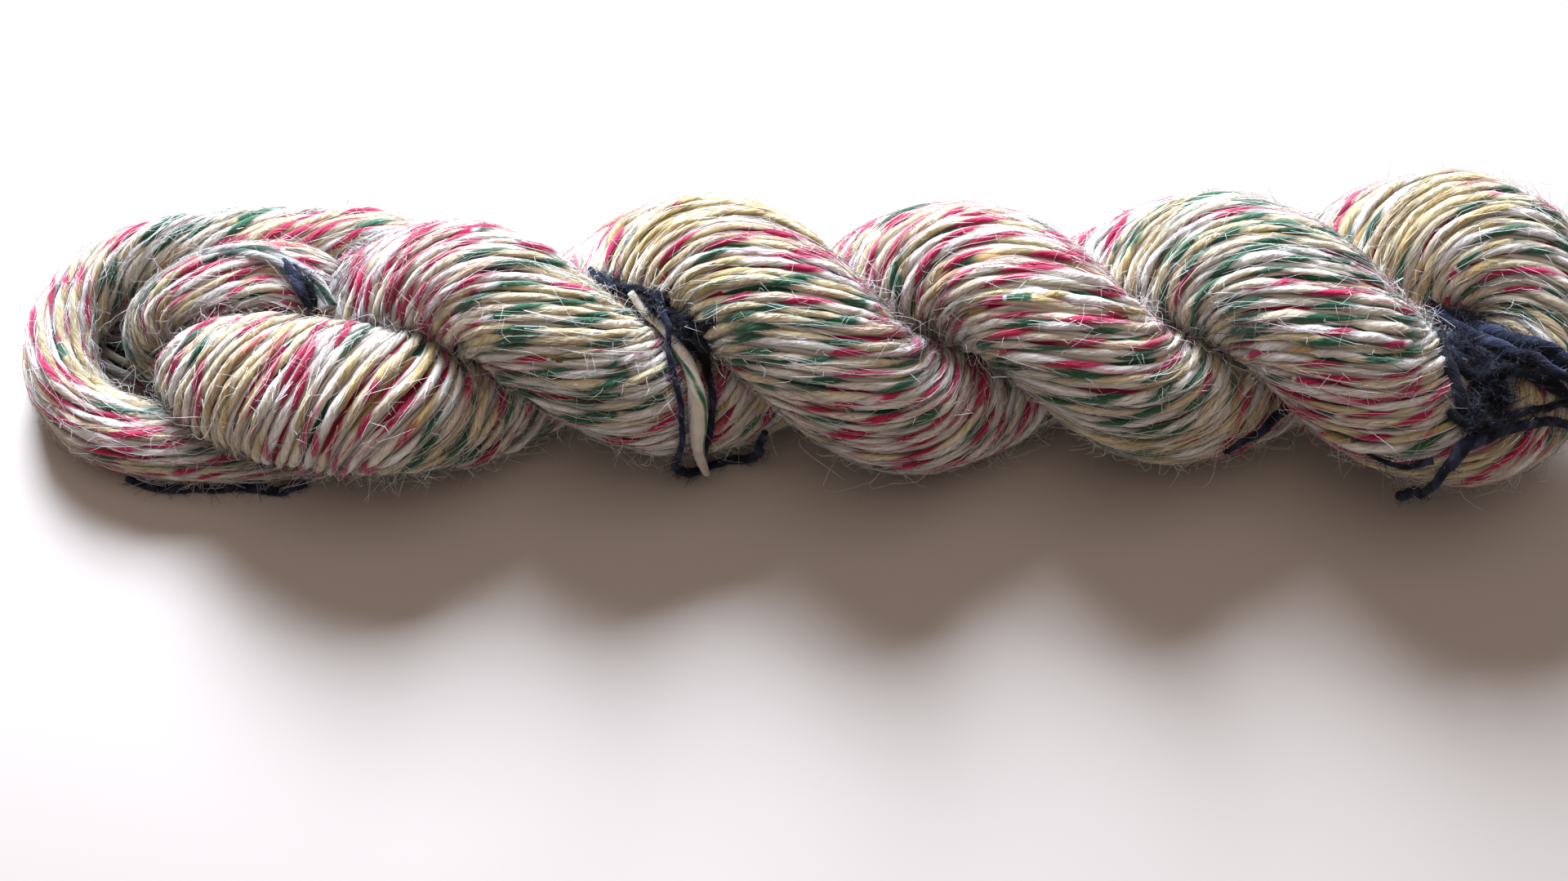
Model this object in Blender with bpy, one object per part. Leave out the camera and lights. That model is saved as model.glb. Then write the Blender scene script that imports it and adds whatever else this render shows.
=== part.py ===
"""A twisted skein of hand-spun two-ply wool, lying on its side.

A skein is one long yarn wound into a big loop. The loop is twisted hard and folded in half,
so its two halves, the plies here, wrap round each other like a rope. At the right end the
loop is simply folded. At the left end the first ply opens into a ring, and the end of the
second ply is pushed through that ring. Dark wool ties hold the windings together.

Frame: +X runs along the skein towards its fold, +Y points away from the viewer, +Z is up,
and the skein lies on the plane Z = 0 with its middle over the origin. Sizes and tables are in
millimetres, along an X of their own, until placed() moves them over the origin.
"""

import math
from collections import namedtuple

import bpy
import numpy as np

MM = 0.001

# ---------------------------------------------------------------- driving sizes
LOOSE_YARN = 2.6                # thickness of the skein's own loose end
TIE_YARN = 2.2                  # thickness of the dark wool of the ties
TIE_STEP = 4.5                  # distance between the points of a tie's tube, about 2 thicknesses
PLY_PITCH = 116.0               # length of one full turn of a ply round the skein
LOBE_FACING = 122.0             # where a lobe shows its middle, in degrees from +Y towards +Z
FIRST_PLY_LOBE = -59.0          # X of a middle lobe of the first ply
SECOND_PLY_LOBE = FIRST_PLY_LOBE + PLY_PITCH / 2
TWIST_LEAN = 0.2                # how much faster, in radians, the plies cross the front
LEAN_FADE = 30.0                # the length before the fold over which this evens out
TOP_BULGE = 0.05                # share by which a ply swells as it comes over the top
BULGE_FACING = 10.0             # the angle where it swells most, in degrees from +Y
TWIST_EASES_AT = 126.0          # from here to the fold the twist dies away
TWIST_FADE = 20.0               # over about this length
FOLD_START = 145.0              # where the plies begin to close into the fold
FOLD_DEPTH = 22.0               # how far the fold's centre line goes beyond FOLD_START
FOLD_OFFSET = 20.5              # distance of each ply from the axis where the fold starts
FOLD_RADIUS = 15.5              # ply radius in the fold
FOLD_OVERLAP = 0.3              # how far, in radians, each half of the fold passes its middle
INNER_GAP = 0.35                # how much thinner the second half is, to end inside the first
CENTRE_X = -3.47                # the middle of the skein's box in the tables' frame,
CENTRE_BACK = 2.10              # which comes to lie over the origin

FIRST_PLY_START = -120.0        # X where the first ply ends inside the ring's root
SECOND_PLY_START = -86.0        # X where the second ply goes over into its tucked end
FIRST_PLY_ENDS_AT = (0.6, 0.85, 0.96)    # how far the first rings of a tube are drawn in,
TUCK_ENDS_AT = (0.7, 0.92)               # as shares of its radius
BAND_END_SHARE = 0.08           # the part of a band's length over which each end is drawn in
BAND_END_DROP = 0.75            # the share of the section that its last ring loses

STEP = 5.5                      # distance between the rings of a tube
PLY_SIDES = 20
BAND_SIDES = 16
SHARP_EDGE = math.radians(50.0)
TABLE_REACH = 300.0             # size of the block that cuts the skein flat
HELIX_SAMPLES = 300
FOLD_SAMPLES = 80
CURVE_SAMPLES = 400
TWIST_SKIP = 12                 # every twelfth sample of the twist guides the second ply

# The axis of the twist: it rises a little where the skein is thicker.
AxisPoint = namedtuple("AxisPoint", "x back height")
TWIST_AXIS = (
    AxisPoint(x=-130, back=-0.5, height=27.5),
    AxisPoint(x=-67, back=0.0, height=28.0),
    AxisPoint(x=-9, back=1.0, height=26.5),
    AxisPoint(x=49, back=0.5, height=29.0),
    AxisPoint(x=107, back=0.5, height=30.5),
    AxisPoint(x=170, back=0.0, height=32.0),
)

# Each ply: its distance from the axis and its own radius, along the skein.
Girth = namedtuple("Girth", "x off_axis radius")
FIRST_PLY = (
    Girth(x=-120, off_axis=11.0, radius=14.0),
    Girth(x=-86, off_axis=11.5, radius=15.0),
    Girth(x=-28, off_axis=12.0, radius=15.5),
    Girth(x=30, off_axis=14.0, radius=16.5),
    Girth(x=88, off_axis=14.5, radius=16.5),
    Girth(x=125, off_axis=18.0, radius=18.5),
    Girth(x=FOLD_START, off_axis=FOLD_OFFSET, radius=17.0),
)
SECOND_PLY = (
    Girth(x=-86, off_axis=14.5, radius=16.5),
    Girth(x=-28, off_axis=15.5, radius=17.5),
    Girth(x=30, off_axis=15.5, radius=17.0),
    Girth(x=88, off_axis=14.5, radius=17.0),
    Girth(x=125, off_axis=17.0, radius=18.0),
    Girth(x=FOLD_START, off_axis=FOLD_OFFSET, radius=17.0),
)

# The second ply leaves the twist at the left and dives into the ring.
TuckPoint = namedtuple("TuckPoint", "x back height radius")
TUCK = (
    TuckPoint(x=-147.5, back=2.0, height=9.5, radius=9.5),
    TuckPoint(x=-142, back=-4.0, height=16.5, radius=13.5),
    TuckPoint(x=-130, back=-9.5, height=22.5, radius=16.8),
    TuckPoint(x=-115, back=-13.5, height=25.0, radius=18.0),
    TuckPoint(x=-100, back=-14.5, height=25.0, radius=17.5),
)

# The ring at the left end, from behind the first ply, round the far end and back beneath.
BandPoint = namedtuple("BandPoint", "x back height half_width half_height")
RING = (
    BandPoint(x=-80, back=15.0, height=17.0, half_width=8.0, half_height=9.0),
    BandPoint(x=-93, back=26.0, height=17.5, half_width=8.8, half_height=11.0),
    BandPoint(x=-108, back=30.5, height=18.0, half_width=9.3, half_height=12.0),
    BandPoint(x=-124, back=31.5, height=18.0, half_width=9.3, half_height=12.0),
    BandPoint(x=-141, back=32.5, height=16.5, half_width=9.2, half_height=12.0),
    BandPoint(x=-157, back=32.0, height=14.5, half_width=9.0, half_height=12.0),
    BandPoint(x=-170, back=27.5, height=12.5, half_width=8.8, half_height=11.5),
    BandPoint(x=-178, back=19.0, height=11.5, half_width=8.5, half_height=11.5),
    BandPoint(x=-181, back=8.5, height=10.5, half_width=8.4, half_height=11.0),
    BandPoint(x=-179, back=-1.5, height=10.0, half_width=8.4, half_height=10.8),
    BandPoint(x=-172, back=-10.0, height=9.5, half_width=8.4, half_height=10.3),
    BandPoint(x=-160, back=-15.5, height=9.0, half_width=8.4, half_height=10.0),
    BandPoint(x=-146, back=-17.5, height=9.0, half_width=8.4, half_height=9.8),
    BandPoint(x=-130, back=-17.0, height=9.0, half_width=8.4, half_height=9.5),
    BandPoint(x=-115, back=-14.0, height=9.0, half_width=8.4, half_height=9.0),
    BandPoint(x=-100, back=-9.0, height=11.0, half_width=8.0, half_height=8.0),
)

# The throat: the part of the pushed-through end that climbs out of the ring's hole.
THROAT = (
    BandPoint(x=-142, back=-3.0, height=8.5, half_width=6.5, half_height=6.5),
    BandPoint(x=-151, back=0.5, height=8.5, half_width=7.0, half_height=7.0),
    BandPoint(x=-157, back=7.0, height=12.5, half_width=7.5, half_height=7.5),
    BandPoint(x=-155, back=12.5, height=18.0, half_width=8.3, half_height=8.0),
    BandPoint(x=-147, back=15.5, height=22.5, half_width=9.3, half_height=8.5),
    BandPoint(x=-136, back=16.5, height=25.5, half_width=10.0, half_height=9.0),
    BandPoint(x=-123, back=14.0, height=28.0, half_width=10.0, half_height=9.0),
    BandPoint(x=-113, back=9.0, height=25.5, half_width=9.5, half_height=8.5),
    BandPoint(x=-105, back=3.0, height=18.0, half_width=8.5, half_height=7.5),
)

# The routes of the loose end and of the ties. thick is a factor on the yarn's thickness.
RoutePoint = namedtuple("RoutePoint", "x back height thick")
LOOSE_END = (
    RoutePoint(x=-42.5, back=3.3, height=42.9, thick=0.9),
    RoutePoint(x=-39.6, back=-0.6, height=41.3, thick=1.0),
    RoutePoint(x=-35.7, back=-4.1, height=40.2, thick=1.0),
    RoutePoint(x=-32.1, back=-8.5, height=39.8, thick=1.0),
    RoutePoint(x=-28.9, back=-13.4, height=37.5, thick=1.05),
    RoutePoint(x=-27.2, back=-18.8, height=33.7, thick=1.05),
    RoutePoint(x=-27.1, back=-23.0, height=28.3, thick=1.0),
    RoutePoint(x=-27.4, back=-24.7, height=22.0, thick=1.0),
    RoutePoint(x=-27.0, back=-24.8, height=15.5, thick=1.0),
    RoutePoint(x=-26.2, back=-24.0, height=9.5, thick=1.0),
    RoutePoint(x=-25.6, back=-23.4, height=4.6, thick=1.15),
    RoutePoint(x=-25.4, back=-23.6, height=1.9, thick=1.1),
)
TIE_MIDDLE_CREASE = (
    RoutePoint(x=-53.0, back=11.2, height=40.0, thick=0.8),
    RoutePoint(x=-49.4, back=7.4, height=41.0, thick=1.0),
    RoutePoint(x=-46.0, back=4.8, height=41.4, thick=1.2),
)
TIE_MIDDLE_LEFT = (
    RoutePoint(x=-37.0, back=1.4, height=45.6, thick=0.9),
    RoutePoint(x=-35.1, back=-2.9, height=44.6, thick=1.0),
    RoutePoint(x=-33.9, back=-8.0, height=43.2, thick=1.0),
    RoutePoint(x=-32.9, back=-13.6, height=39.9, thick=1.0),
    RoutePoint(x=-31.6, back=-19.5, height=36.1, thick=1.0),
    RoutePoint(x=-31.0, back=-23.8, height=30.8, thick=1.0),
    RoutePoint(x=-31.1, back=-25.7, height=24.3, thick=1.0),
    RoutePoint(x=-31.9, back=-25.6, height=17.0, thick=1.0),
    RoutePoint(x=-32.5, back=-24.6, height=10.0, thick=1.0),
    RoutePoint(x=-32.2, back=-22.6, height=4.6, thick=1.2),
    RoutePoint(x=-29.6, back=-21.2, height=1.7, thick=1.2),
    RoutePoint(x=-25.2, back=-19.4, height=1.5, thick=1.1),
    RoutePoint(x=-20.6, back=-17.6, height=1.5, thick=1.1),
    RoutePoint(x=-16.4, back=-17.2, height=2.6, thick=1.2),
    RoutePoint(x=-13.8, back=-18.2, height=6.6, thick=1.2),
    RoutePoint(x=-13.0, back=-18.7, height=11.6, thick=1.1),
    RoutePoint(x=-12.2, back=-18.2, height=16.6, thick=1.0),
)
TIE_MIDDLE_RIGHT = (
    RoutePoint(x=-31.8, back=-5.4, height=37.6, thick=1.0),
    RoutePoint(x=-27.2, back=-8.0, height=35.6, thick=1.0),
    RoutePoint(x=-24.4, back=-12.6, height=33.8, thick=1.0),
    RoutePoint(x=-23.6, back=-17.4, height=31.0, thick=1.0),
    RoutePoint(x=-23.6, back=-21.0, height=26.4, thick=1.0),
    RoutePoint(x=-23.6, back=-22.8, height=20.6, thick=1.0),
    RoutePoint(x=-24.2, back=-22.6, height=14.6, thick=0.8),
)
TIE_LEFT_KNOT = (
    RoutePoint(x=-124.0, back=15.2, height=38.9, thick=0.8),
    RoutePoint(x=-121.4, back=11.4, height=38.9, thick=1.4),
    RoutePoint(x=-118.8, back=7.2, height=37.6, thick=1.5),
    RoutePoint(x=-116.8, back=3.6, height=35.6, thick=0.9),
)
TIE_LEFT_TAIL = (
    RoutePoint(x=-163.5, back=-22.6, height=1.5, thick=0.9),
    RoutePoint(x=-160.5, back=-23.6, height=1.4, thick=1.1),
    RoutePoint(x=-156.0, back=-25.0, height=1.4, thick=1.1),
    RoutePoint(x=-150.0, back=-25.2, height=1.4, thick=1.1),
    RoutePoint(x=-144.0, back=-25.4, height=1.4, thick=1.0),
    RoutePoint(x=-138.0, back=-25.2, height=1.4, thick=1.0),
    RoutePoint(x=-132.0, back=-25.2, height=1.4, thick=1.2),
    RoutePoint(x=-126.0, back=-25.0, height=1.5, thick=1.3),
    RoutePoint(x=-120.5, back=-23.8, height=1.4, thick=1.0),
)
TIE_LOWER_RIGHT = (
    RoutePoint(x=108.6, back=-15.6, height=23.4, thick=1.3),
    RoutePoint(x=105.6, back=-18.6, height=23.2, thick=1.3),
    RoutePoint(x=102.2, back=-21.4, height=22.4, thick=1.1),
    RoutePoint(x=98.0, back=-23.8, height=21.4, thick=0.9),
    RoutePoint(x=93.6, back=-26.0, height=20.4, thick=0.6),
)
TIE_END_UPPER = (
    RoutePoint(x=149.6, back=-3.4, height=37.6, thick=1.3),
    RoutePoint(x=153.4, back=-8.6, height=42.0, thick=1.5),
    RoutePoint(x=159.6, back=-12.6, height=44.0, thick=1.5),
    RoutePoint(x=166.4, back=-15.3, height=43.6, thick=1.4),
    RoutePoint(x=172.6, back=-16.9, height=40.3, thick=1.3),
    RoutePoint(x=177.6, back=-17.4, height=35.4, thick=1.0),
)
TIE_END_MIDDLE = (
    RoutePoint(x=149.4, back=-14.2, height=44.0, thick=1.0),
    RoutePoint(x=155.0, back=-16.4, height=43.4, thick=1.3),
    RoutePoint(x=161.6, back=-19.2, height=41.9, thick=1.4),
    RoutePoint(x=167.8, back=-21.1, height=39.0, thick=1.3),
    RoutePoint(x=173.4, back=-22.1, height=34.6, thick=1.0),
)
TIE_END_LOWER = (
    RoutePoint(x=172.6, back=-25.4, height=30.6, thick=1.0),
    RoutePoint(x=167.4, back=-26.2, height=34.0, thick=1.2),
    RoutePoint(x=161.0, back=-27.8, height=36.8, thick=1.3),
    RoutePoint(x=154.4, back=-30.4, height=38.2, thick=1.4),
    RoutePoint(x=148.6, back=-32.9, height=39.2, thick=1.9),
    RoutePoint(x=143.4, back=-35.5, height=37.9, thick=1.9),
    RoutePoint(x=140.4, back=-37.6, height=32.6, thick=1.3),
    RoutePoint(x=139.2, back=-38.0, height=26.4, thick=1.2),
    RoutePoint(x=138.0, back=-36.4, height=20.2, thick=1.1),
    RoutePoint(x=136.6, back=-33.6, height=14.6, thick=1.2),
    RoutePoint(x=135.2, back=-31.4, height=9.6, thick=1.4),
)
TIE_END_SIDE = (
    RoutePoint(x=122.4, back=-33.7, height=34.2, thick=0.8),
    RoutePoint(x=127.4, back=-35.2, height=32.6, thick=1.1),
    RoutePoint(x=132.8, back=-36.4, height=33.0, thick=1.1),
    RoutePoint(x=137.2, back=-36.0, height=35.6, thick=1.0),
)


# ---------------------------------------------------------------- plain tools
def clear_scene():
    for thing in list(bpy.data.objects):
        bpy.data.objects.remove(thing, do_unlink=True)


def make_material(name, colour, roughness):
    material = bpy.data.materials.new(name)
    material.use_nodes = True
    shader = material.node_tree.nodes["Principled BSDF"]
    shader.inputs["Base Color"].default_value = (*colour, 1.0)
    shader.inputs["Roughness"].default_value = roughness
    shader.inputs["Metallic"].default_value = 0.0
    return material


def smooth_between(knots, values, at):
    """A cubic through the values, whose slope at a knot is that of its two neighbours."""
    knots = np.asarray(knots, float)
    values = np.asarray(values, float)
    at = np.clip(at, knots[0], knots[-1])
    slopes = np.gradient(values, knots)
    left = np.clip(np.searchsorted(knots, at, side="right") - 1, 0, len(knots) - 2)
    span = knots[left + 1] - knots[left]
    part = (at - knots[left]) / span
    keep = (1 + 2 * part) * (1 - part) ** 2
    reach = part ** 2 * (3 - 2 * part)
    leave = part * (1 - part) ** 2 * span
    arrive = part ** 2 * (part - 1) * span
    return (keep * values[left] + reach * values[left + 1]
            + leave * slopes[left] + arrive * slopes[left + 1])


def read_table(rows, column, at):
    """One column of a table, read smoothly along its x column."""
    return smooth_between([row.x for row in rows], [getattr(row, column) for row in rows], at)


def along(rows, step):
    """Every column of a table of points, read at even steps along its own smooth curve."""
    table = np.array(rows, float)
    spans = np.linalg.norm(np.diff(table[:, :3], axis=0), axis=1)
    chords = np.concatenate([[0.0], np.cumsum(spans)])
    fine = np.linspace(0.0, chords[-1], CURVE_SAMPLES)
    curve = np.stack([smooth_between(chords, column, fine) for column in table.T], axis=1)
    return even_steps(curve, step)


def even_steps(curve, step):
    """The rows of a fine curve at even distances, with its first three columns as the place."""
    spans = np.linalg.norm(np.diff(curve[:, :3], axis=0), axis=1)
    reached = np.concatenate([[0.0], np.cumsum(spans)])
    count = max(3, round(reached[-1] / step) + 1)
    wanted = np.linspace(0.0, reached[-1], count)
    return np.stack([np.interp(wanted, reached, column) for column in curve.T], axis=1)


def directions(points):
    """The unit direction of travel at each point."""
    ahead = np.gradient(points, axis=0)
    return ahead / np.linalg.norm(ahead, axis=1)[:, None]


def carried_frame(points):
    """A side and an up vector at each point, carried along the route without twisting."""
    heading = directions(points)
    side = np.cross(heading[0], (0.0, 0.0, 1.0))
    sides = []
    for ahead in heading:
        side = side - ahead * np.dot(side, ahead)
        side = side / np.linalg.norm(side)
        sides.append(side)
    sides = np.array(sides)
    return sides, np.cross(sides, heading)


def level_frame(points):
    """A level side vector and an up vector at each point."""
    heading = directions(points)
    sides = np.cross(heading, (0.0, 0.0, 1.0))
    sides = sides / np.linalg.norm(sides, axis=1)[:, None]
    return sides, np.cross(sides, heading)


def placed(points):
    """Places of the tables' frame, in metres and with the skein's middle over the origin."""
    return (np.asarray(points) - (CENTRE_X, CENTRE_BACK, 0.0)) * MM


def round_off(count):
    """Factors that draw a band's first and last rings in, like the end of a sausage."""
    place = np.linspace(0.0, 1.0, count)
    inward = np.clip(np.minimum(place, 1.0 - place) / BAND_END_SHARE, 0.0, 1.0)
    return np.sqrt(1.0 - (1.0 - inward) ** 2 * BAND_END_DROP)


def skin(name, points, sides, ups, widths, heights, ring_sides):
    """A closed tube: one oval ring at each point, quads between rings and a flat cap at each end."""
    turn = np.linspace(0.0, 2.0 * math.pi, ring_sides, endpoint=False)
    across = widths[:, None, None] * np.cos(turn)[None, :, None] * sides[:, None, :]
    upward = heights[:, None, None] * np.sin(turn)[None, :, None] * ups[:, None, :]
    vertices = placed((points[:, None, :] + across + upward).reshape(-1, 3))
    faces = []
    last = len(points) - 1
    for ring in range(last):
        for corner in range(ring_sides):
            after = (corner + 1) % ring_sides
            here = ring * ring_sides
            there = here + ring_sides
            faces.append((here + corner, here + after, there + after, there + corner))
    faces.append(tuple(range(ring_sides - 1, -1, -1)))
    faces.append(tuple(last * ring_sides + corner for corner in range(ring_sides)))
    mesh = bpy.data.meshes.new(name)
    mesh.from_pydata(vertices.tolist(), [], faces)
    mesh.validate()
    mesh.shade_smooth()
    mesh.set_sharp_from_angle(angle=SHARP_EDGE)
    face_outwards(mesh)
    made = bpy.data.objects.new(name, mesh)
    bpy.context.scene.collection.objects.link(made)
    return made


def face_outwards(mesh):
    """Turns every face over if the closed mesh encloses a negative volume."""
    volume = 0.0
    for face in mesh.polygons:
        corners = [mesh.vertices[index].co for index in face.vertices]
        for second, third in zip(corners[1:], corners[2:]):
            volume += corners[0].dot(second.cross(third))
    if volume < 0.0:
        mesh.flip_normals()


def as_cutter(thing):
    """Keeps an operand of a Boolean out of the finished model."""
    thing.hide_render = True
    thing.display_type = "WIRE"
    return thing


def combine(target, operand, operation):
    step = target.modifiers.new(operand.name, "BOOLEAN")
    step.operation = operation
    step.solver = "EXACT"
    step.object = operand


# ---------------------------------------------------------------- the wound skein
def twist_point(x, off_axis, angle):
    """A place at a distance from the twist's axis, at an angle from +Y towards +Z."""
    back = read_table(TWIST_AXIS, "back", x) + off_axis * np.cos(angle)
    height = read_table(TWIST_AXIS, "height", x) + off_axis * np.sin(angle)
    return np.stack([x, back, height], axis=1)


def ply_angle(x, lobe):
    """The ply's angle round the axis: even along the skein, and dying away before the fold."""
    past = np.maximum(x - TWIST_EASES_AT, 0.0)
    turned = np.minimum(x, TWIST_EASES_AT) + TWIST_FADE * (1.0 - np.exp(-past / TWIST_FADE))
    even = 2.0 * math.pi * (turned - lobe) / PLY_PITCH
    to_fold = np.clip((FOLD_START - x) / LEAN_FADE, 0.0, 1.0)
    lean = TWIST_LEAN * to_fold ** 2 * (3.0 - 2.0 * to_fold)
    return math.radians(LOBE_FACING) + even + lean * np.sin(even)


def ply_curve(rows, lobe, start):
    """A ply's centre line and radius: a helix up to the fold, then a quarter turn to the axis."""
    x = np.linspace(start, FOLD_START, HELIX_SAMPLES)
    angle = ply_angle(x, lobe)
    helix = twist_point(x, read_table(rows, "off_axis", x), angle)
    swell = 1.0 + TOP_BULGE * np.cos(angle - math.radians(BULGE_FACING))
    helix_radius = read_table(rows, "radius", x) * swell
    swing = np.linspace(0.0, math.pi / 2.0 + FOLD_OVERLAP, FOLD_SAMPLES)[1:]
    fold_x = FOLD_START + FOLD_DEPTH * np.sin(swing)
    fold = twist_point(fold_x, FOLD_OFFSET * np.cos(swing), ply_angle(fold_x, lobe))
    share = np.sin(swing) ** 2
    fold_radius = helix_radius[-1] + (FOLD_RADIUS - helix_radius[-1]) * share
    places = np.vstack([helix, fold])
    return np.column_stack([places, np.concatenate([helix_radius, fold_radius])])


def make_first_ply():
    curve = even_steps(ply_curve(FIRST_PLY, FIRST_PLY_LOBE, FIRST_PLY_START), STEP)
    points = curve[:, :3]
    radii = curve[:, 3].copy()
    radii[:len(FIRST_PLY_ENDS_AT)] *= FIRST_PLY_ENDS_AT
    sides, ups = carried_frame(points)
    return skin("hank", points, sides, ups, radii, radii, PLY_SIDES)


def make_second_ply():
    twist = ply_curve(SECOND_PLY, SECOND_PLY_LOBE, SECOND_PLY_START)
    joined = np.vstack([np.array(TUCK, float), twist[:-1:TWIST_SKIP], twist[-1:]])
    curve = along(joined, STEP)
    points = curve[:, :3]
    radii = curve[:, 3] - INNER_GAP
    radii[:len(TUCK_ENDS_AT)] *= TUCK_ENDS_AT
    sides, ups = carried_frame(points)
    return skin("second_ply", points, sides, ups, radii, radii, PLY_SIDES)


def make_band(name, rows):
    curve = along(rows, STEP)
    points = curve[:, :3]
    sides, ups = level_frame(points)
    ends = round_off(len(points))
    return skin(name, points, sides, ups, curve[:, 3] * ends, curve[:, 4] * ends, BAND_SIDES)


def make_table_block():
    """The space below the table, which presses the skein flat where it rests."""
    sides = (-TABLE_REACH * MM, TABLE_REACH * MM)
    levels = (-TABLE_REACH * MM, 0.0)
    vertices = [(x, y, z) for x in sides for y in sides for z in levels]
    faces = [(0, 1, 3, 2), (4, 6, 7, 5), (0, 4, 5, 1), (2, 3, 7, 6), (0, 2, 6, 4), (1, 5, 7, 3)]
    mesh = bpy.data.meshes.new("table_block")
    mesh.from_pydata(vertices, [], faces)
    face_outwards(mesh)
    block = bpy.data.objects.new("table_block", mesh)
    bpy.context.scene.collection.objects.link(block)
    return block


def make_hank(wool):
    hank = make_first_ply()
    for operand in (make_second_ply(), make_band("ring", RING), make_band("throat", THROAT)):
        combine(hank, as_cutter(operand), "UNION")
    combine(hank, as_cutter(make_table_block()), "DIFFERENCE")
    hank.data.materials.append(wool)
    return hank


# ---------------------------------------------------------------- loose end and ties
def make_strand(name, route, thickness, wool):
    """A tube of yarn along a smooth curve through its route, with filled ends."""
    points = along(route, TIE_STEP)
    curve = bpy.data.curves.new(name, "CURVE")
    curve.dimensions = "3D"
    curve.bevel_depth = thickness / 2.0 * MM
    curve.bevel_resolution = 2
    curve.use_fill_caps = True
    spline = curve.splines.new("POLY")
    spline.points.add(len(points) - 1)
    for target, place, thick in zip(spline.points, placed(points[:, :3]), points[:, 3]):
        target.co = (*place, 1.0)
        target.radius = thick
    curve.materials.append(wool)
    strand = bpy.data.objects.new(name, curve)
    bpy.context.scene.collection.objects.link(strand)
    return strand


def make_ties(wool):
    ties = {
        "tie_left_knot": TIE_LEFT_KNOT,
        "tie_left_tail": TIE_LEFT_TAIL,
        "tie_middle_crease": TIE_MIDDLE_CREASE,
        "tie_middle_left": TIE_MIDDLE_LEFT,
        "tie_middle_right": TIE_MIDDLE_RIGHT,
        "tie_lower_right": TIE_LOWER_RIGHT,
        "tie_end_upper": TIE_END_UPPER,
        "tie_end_middle": TIE_END_MIDDLE,
        "tie_end_lower": TIE_END_LOWER,
        "tie_end_side": TIE_END_SIDE,
    }
    for name, route in ties.items():
        make_strand(name, route, TIE_YARN, wool)


# ---------------------------------------------------------------- the model
def build():
    clear_scene()
    marled_wool = make_material("marled_wool", (0.78, 0.70, 0.58), 0.9)
    cream_wool = make_material("cream_wool", (0.86, 0.82, 0.74), 0.9)
    navy_wool = make_material("navy_wool", (0.03, 0.04, 0.09), 0.95)
    make_hank(marled_wool)
    make_strand("yarn_end", LOOSE_END, LOOSE_YARN, cream_wool)
    make_ties(navy_wool)


build()
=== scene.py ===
# %% [markdown]
# # A twisted skein of hand-spun wool
# The real object is one long two-ply yarn, wound into a loop, twisted hard and folded so that
# its halves wrap round each other. The CAD model already holds that wound form as one solid.
# A picture of yarn on that solid would do from far away, but its outline would be smooth and its
# creases empty. So every winding that shows is laid over the same form as its own strand.

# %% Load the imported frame
import math

import bpy
import numpy as np
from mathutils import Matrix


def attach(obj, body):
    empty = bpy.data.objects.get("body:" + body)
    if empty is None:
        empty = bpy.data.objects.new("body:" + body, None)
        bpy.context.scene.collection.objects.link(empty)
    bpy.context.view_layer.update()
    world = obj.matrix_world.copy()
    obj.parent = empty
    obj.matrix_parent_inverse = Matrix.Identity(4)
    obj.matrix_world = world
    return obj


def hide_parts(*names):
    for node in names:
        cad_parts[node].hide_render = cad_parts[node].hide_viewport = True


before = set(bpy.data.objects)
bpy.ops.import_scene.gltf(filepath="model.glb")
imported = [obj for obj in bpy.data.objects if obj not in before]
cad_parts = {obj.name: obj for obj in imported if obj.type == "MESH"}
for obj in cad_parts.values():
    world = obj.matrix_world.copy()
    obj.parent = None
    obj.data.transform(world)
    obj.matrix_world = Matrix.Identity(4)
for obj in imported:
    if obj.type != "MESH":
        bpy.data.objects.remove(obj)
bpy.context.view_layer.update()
rng = np.random.default_rng(7)
print("nodes:", ", ".join(sorted(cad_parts)))

# %% [markdown]
# ## The tables' frame
# The CAD source keeps its tables in millimetres, with an X of their own, and moves the skein's
# middle over the origin at the end. The same two numbers are used here, so that every place can
# be read in the same units.

# %% Millimetres to the frame
MM = 0.001
CENTRE_X = -3.47
CENTRE_BACK = 2.10


def placed(points):
    """Places of the tables' frame, in metres and with the skein's middle over the origin."""
    return (np.asarray(points, float) - (CENTRE_X, CENTRE_BACK, 0.0)) * MM


# %% [markdown]
# ## The camera
# The photograph looks down on the skein at about 58 degrees, square to its length, from about
# 60 centimetres. The skein lies high in the picture, so the lens is shifted a little and not
# tilted, which would change how much of the front shows.

# %% Camera
ELEVATION = math.radians(58.0)
DISTANCE = 0.608
AXIS_HEIGHT = 28.0
PHOTO_WIDTH, PHOTO_HEIGHT = 1920, 1079
# the column and row of the photograph at which the camera aims
AIM_COLUMN, AIM_ROW = 1000, 415
aim = placed((0.0, 0.0, AXIS_HEIGHT))
camera_data = bpy.data.cameras.new("photo_camera")
camera_data.lens = 60.0
camera_data.sensor_width = 36.0
camera_data.sensor_fit = "HORIZONTAL"
camera_data.shift_x = (PHOTO_WIDTH / 2 - AIM_COLUMN) / PHOTO_WIDTH
camera_data.shift_y = (AIM_ROW - PHOTO_HEIGHT / 2) / PHOTO_WIDTH
camera = bpy.data.objects.new("photo_camera", camera_data)
camera.location = (aim[0], aim[1] - DISTANCE * math.cos(ELEVATION),
                   aim[2] + DISTANCE * math.sin(ELEVATION))
camera.rotation_euler = (math.pi / 2 - ELEVATION, 0.0, 0.0)
bpy.context.scene.collection.objects.link(camera)
bpy.context.scene.camera = camera
print("camera at", [round(v, 3) for v in camera.location])

# %% [markdown]
# ## Curves through a few points
# A winding's route is known at a few places only. Blender's own curves could join them, but here
# the line's length, twist and directions are needed at every ring, so it is worked out as arrays.
# A cubic whose slope at each place is that of its neighbours gives a smooth line through them,
# and reading that line at even distances gives tubes with even rings.

# %% Smooth curves


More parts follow.
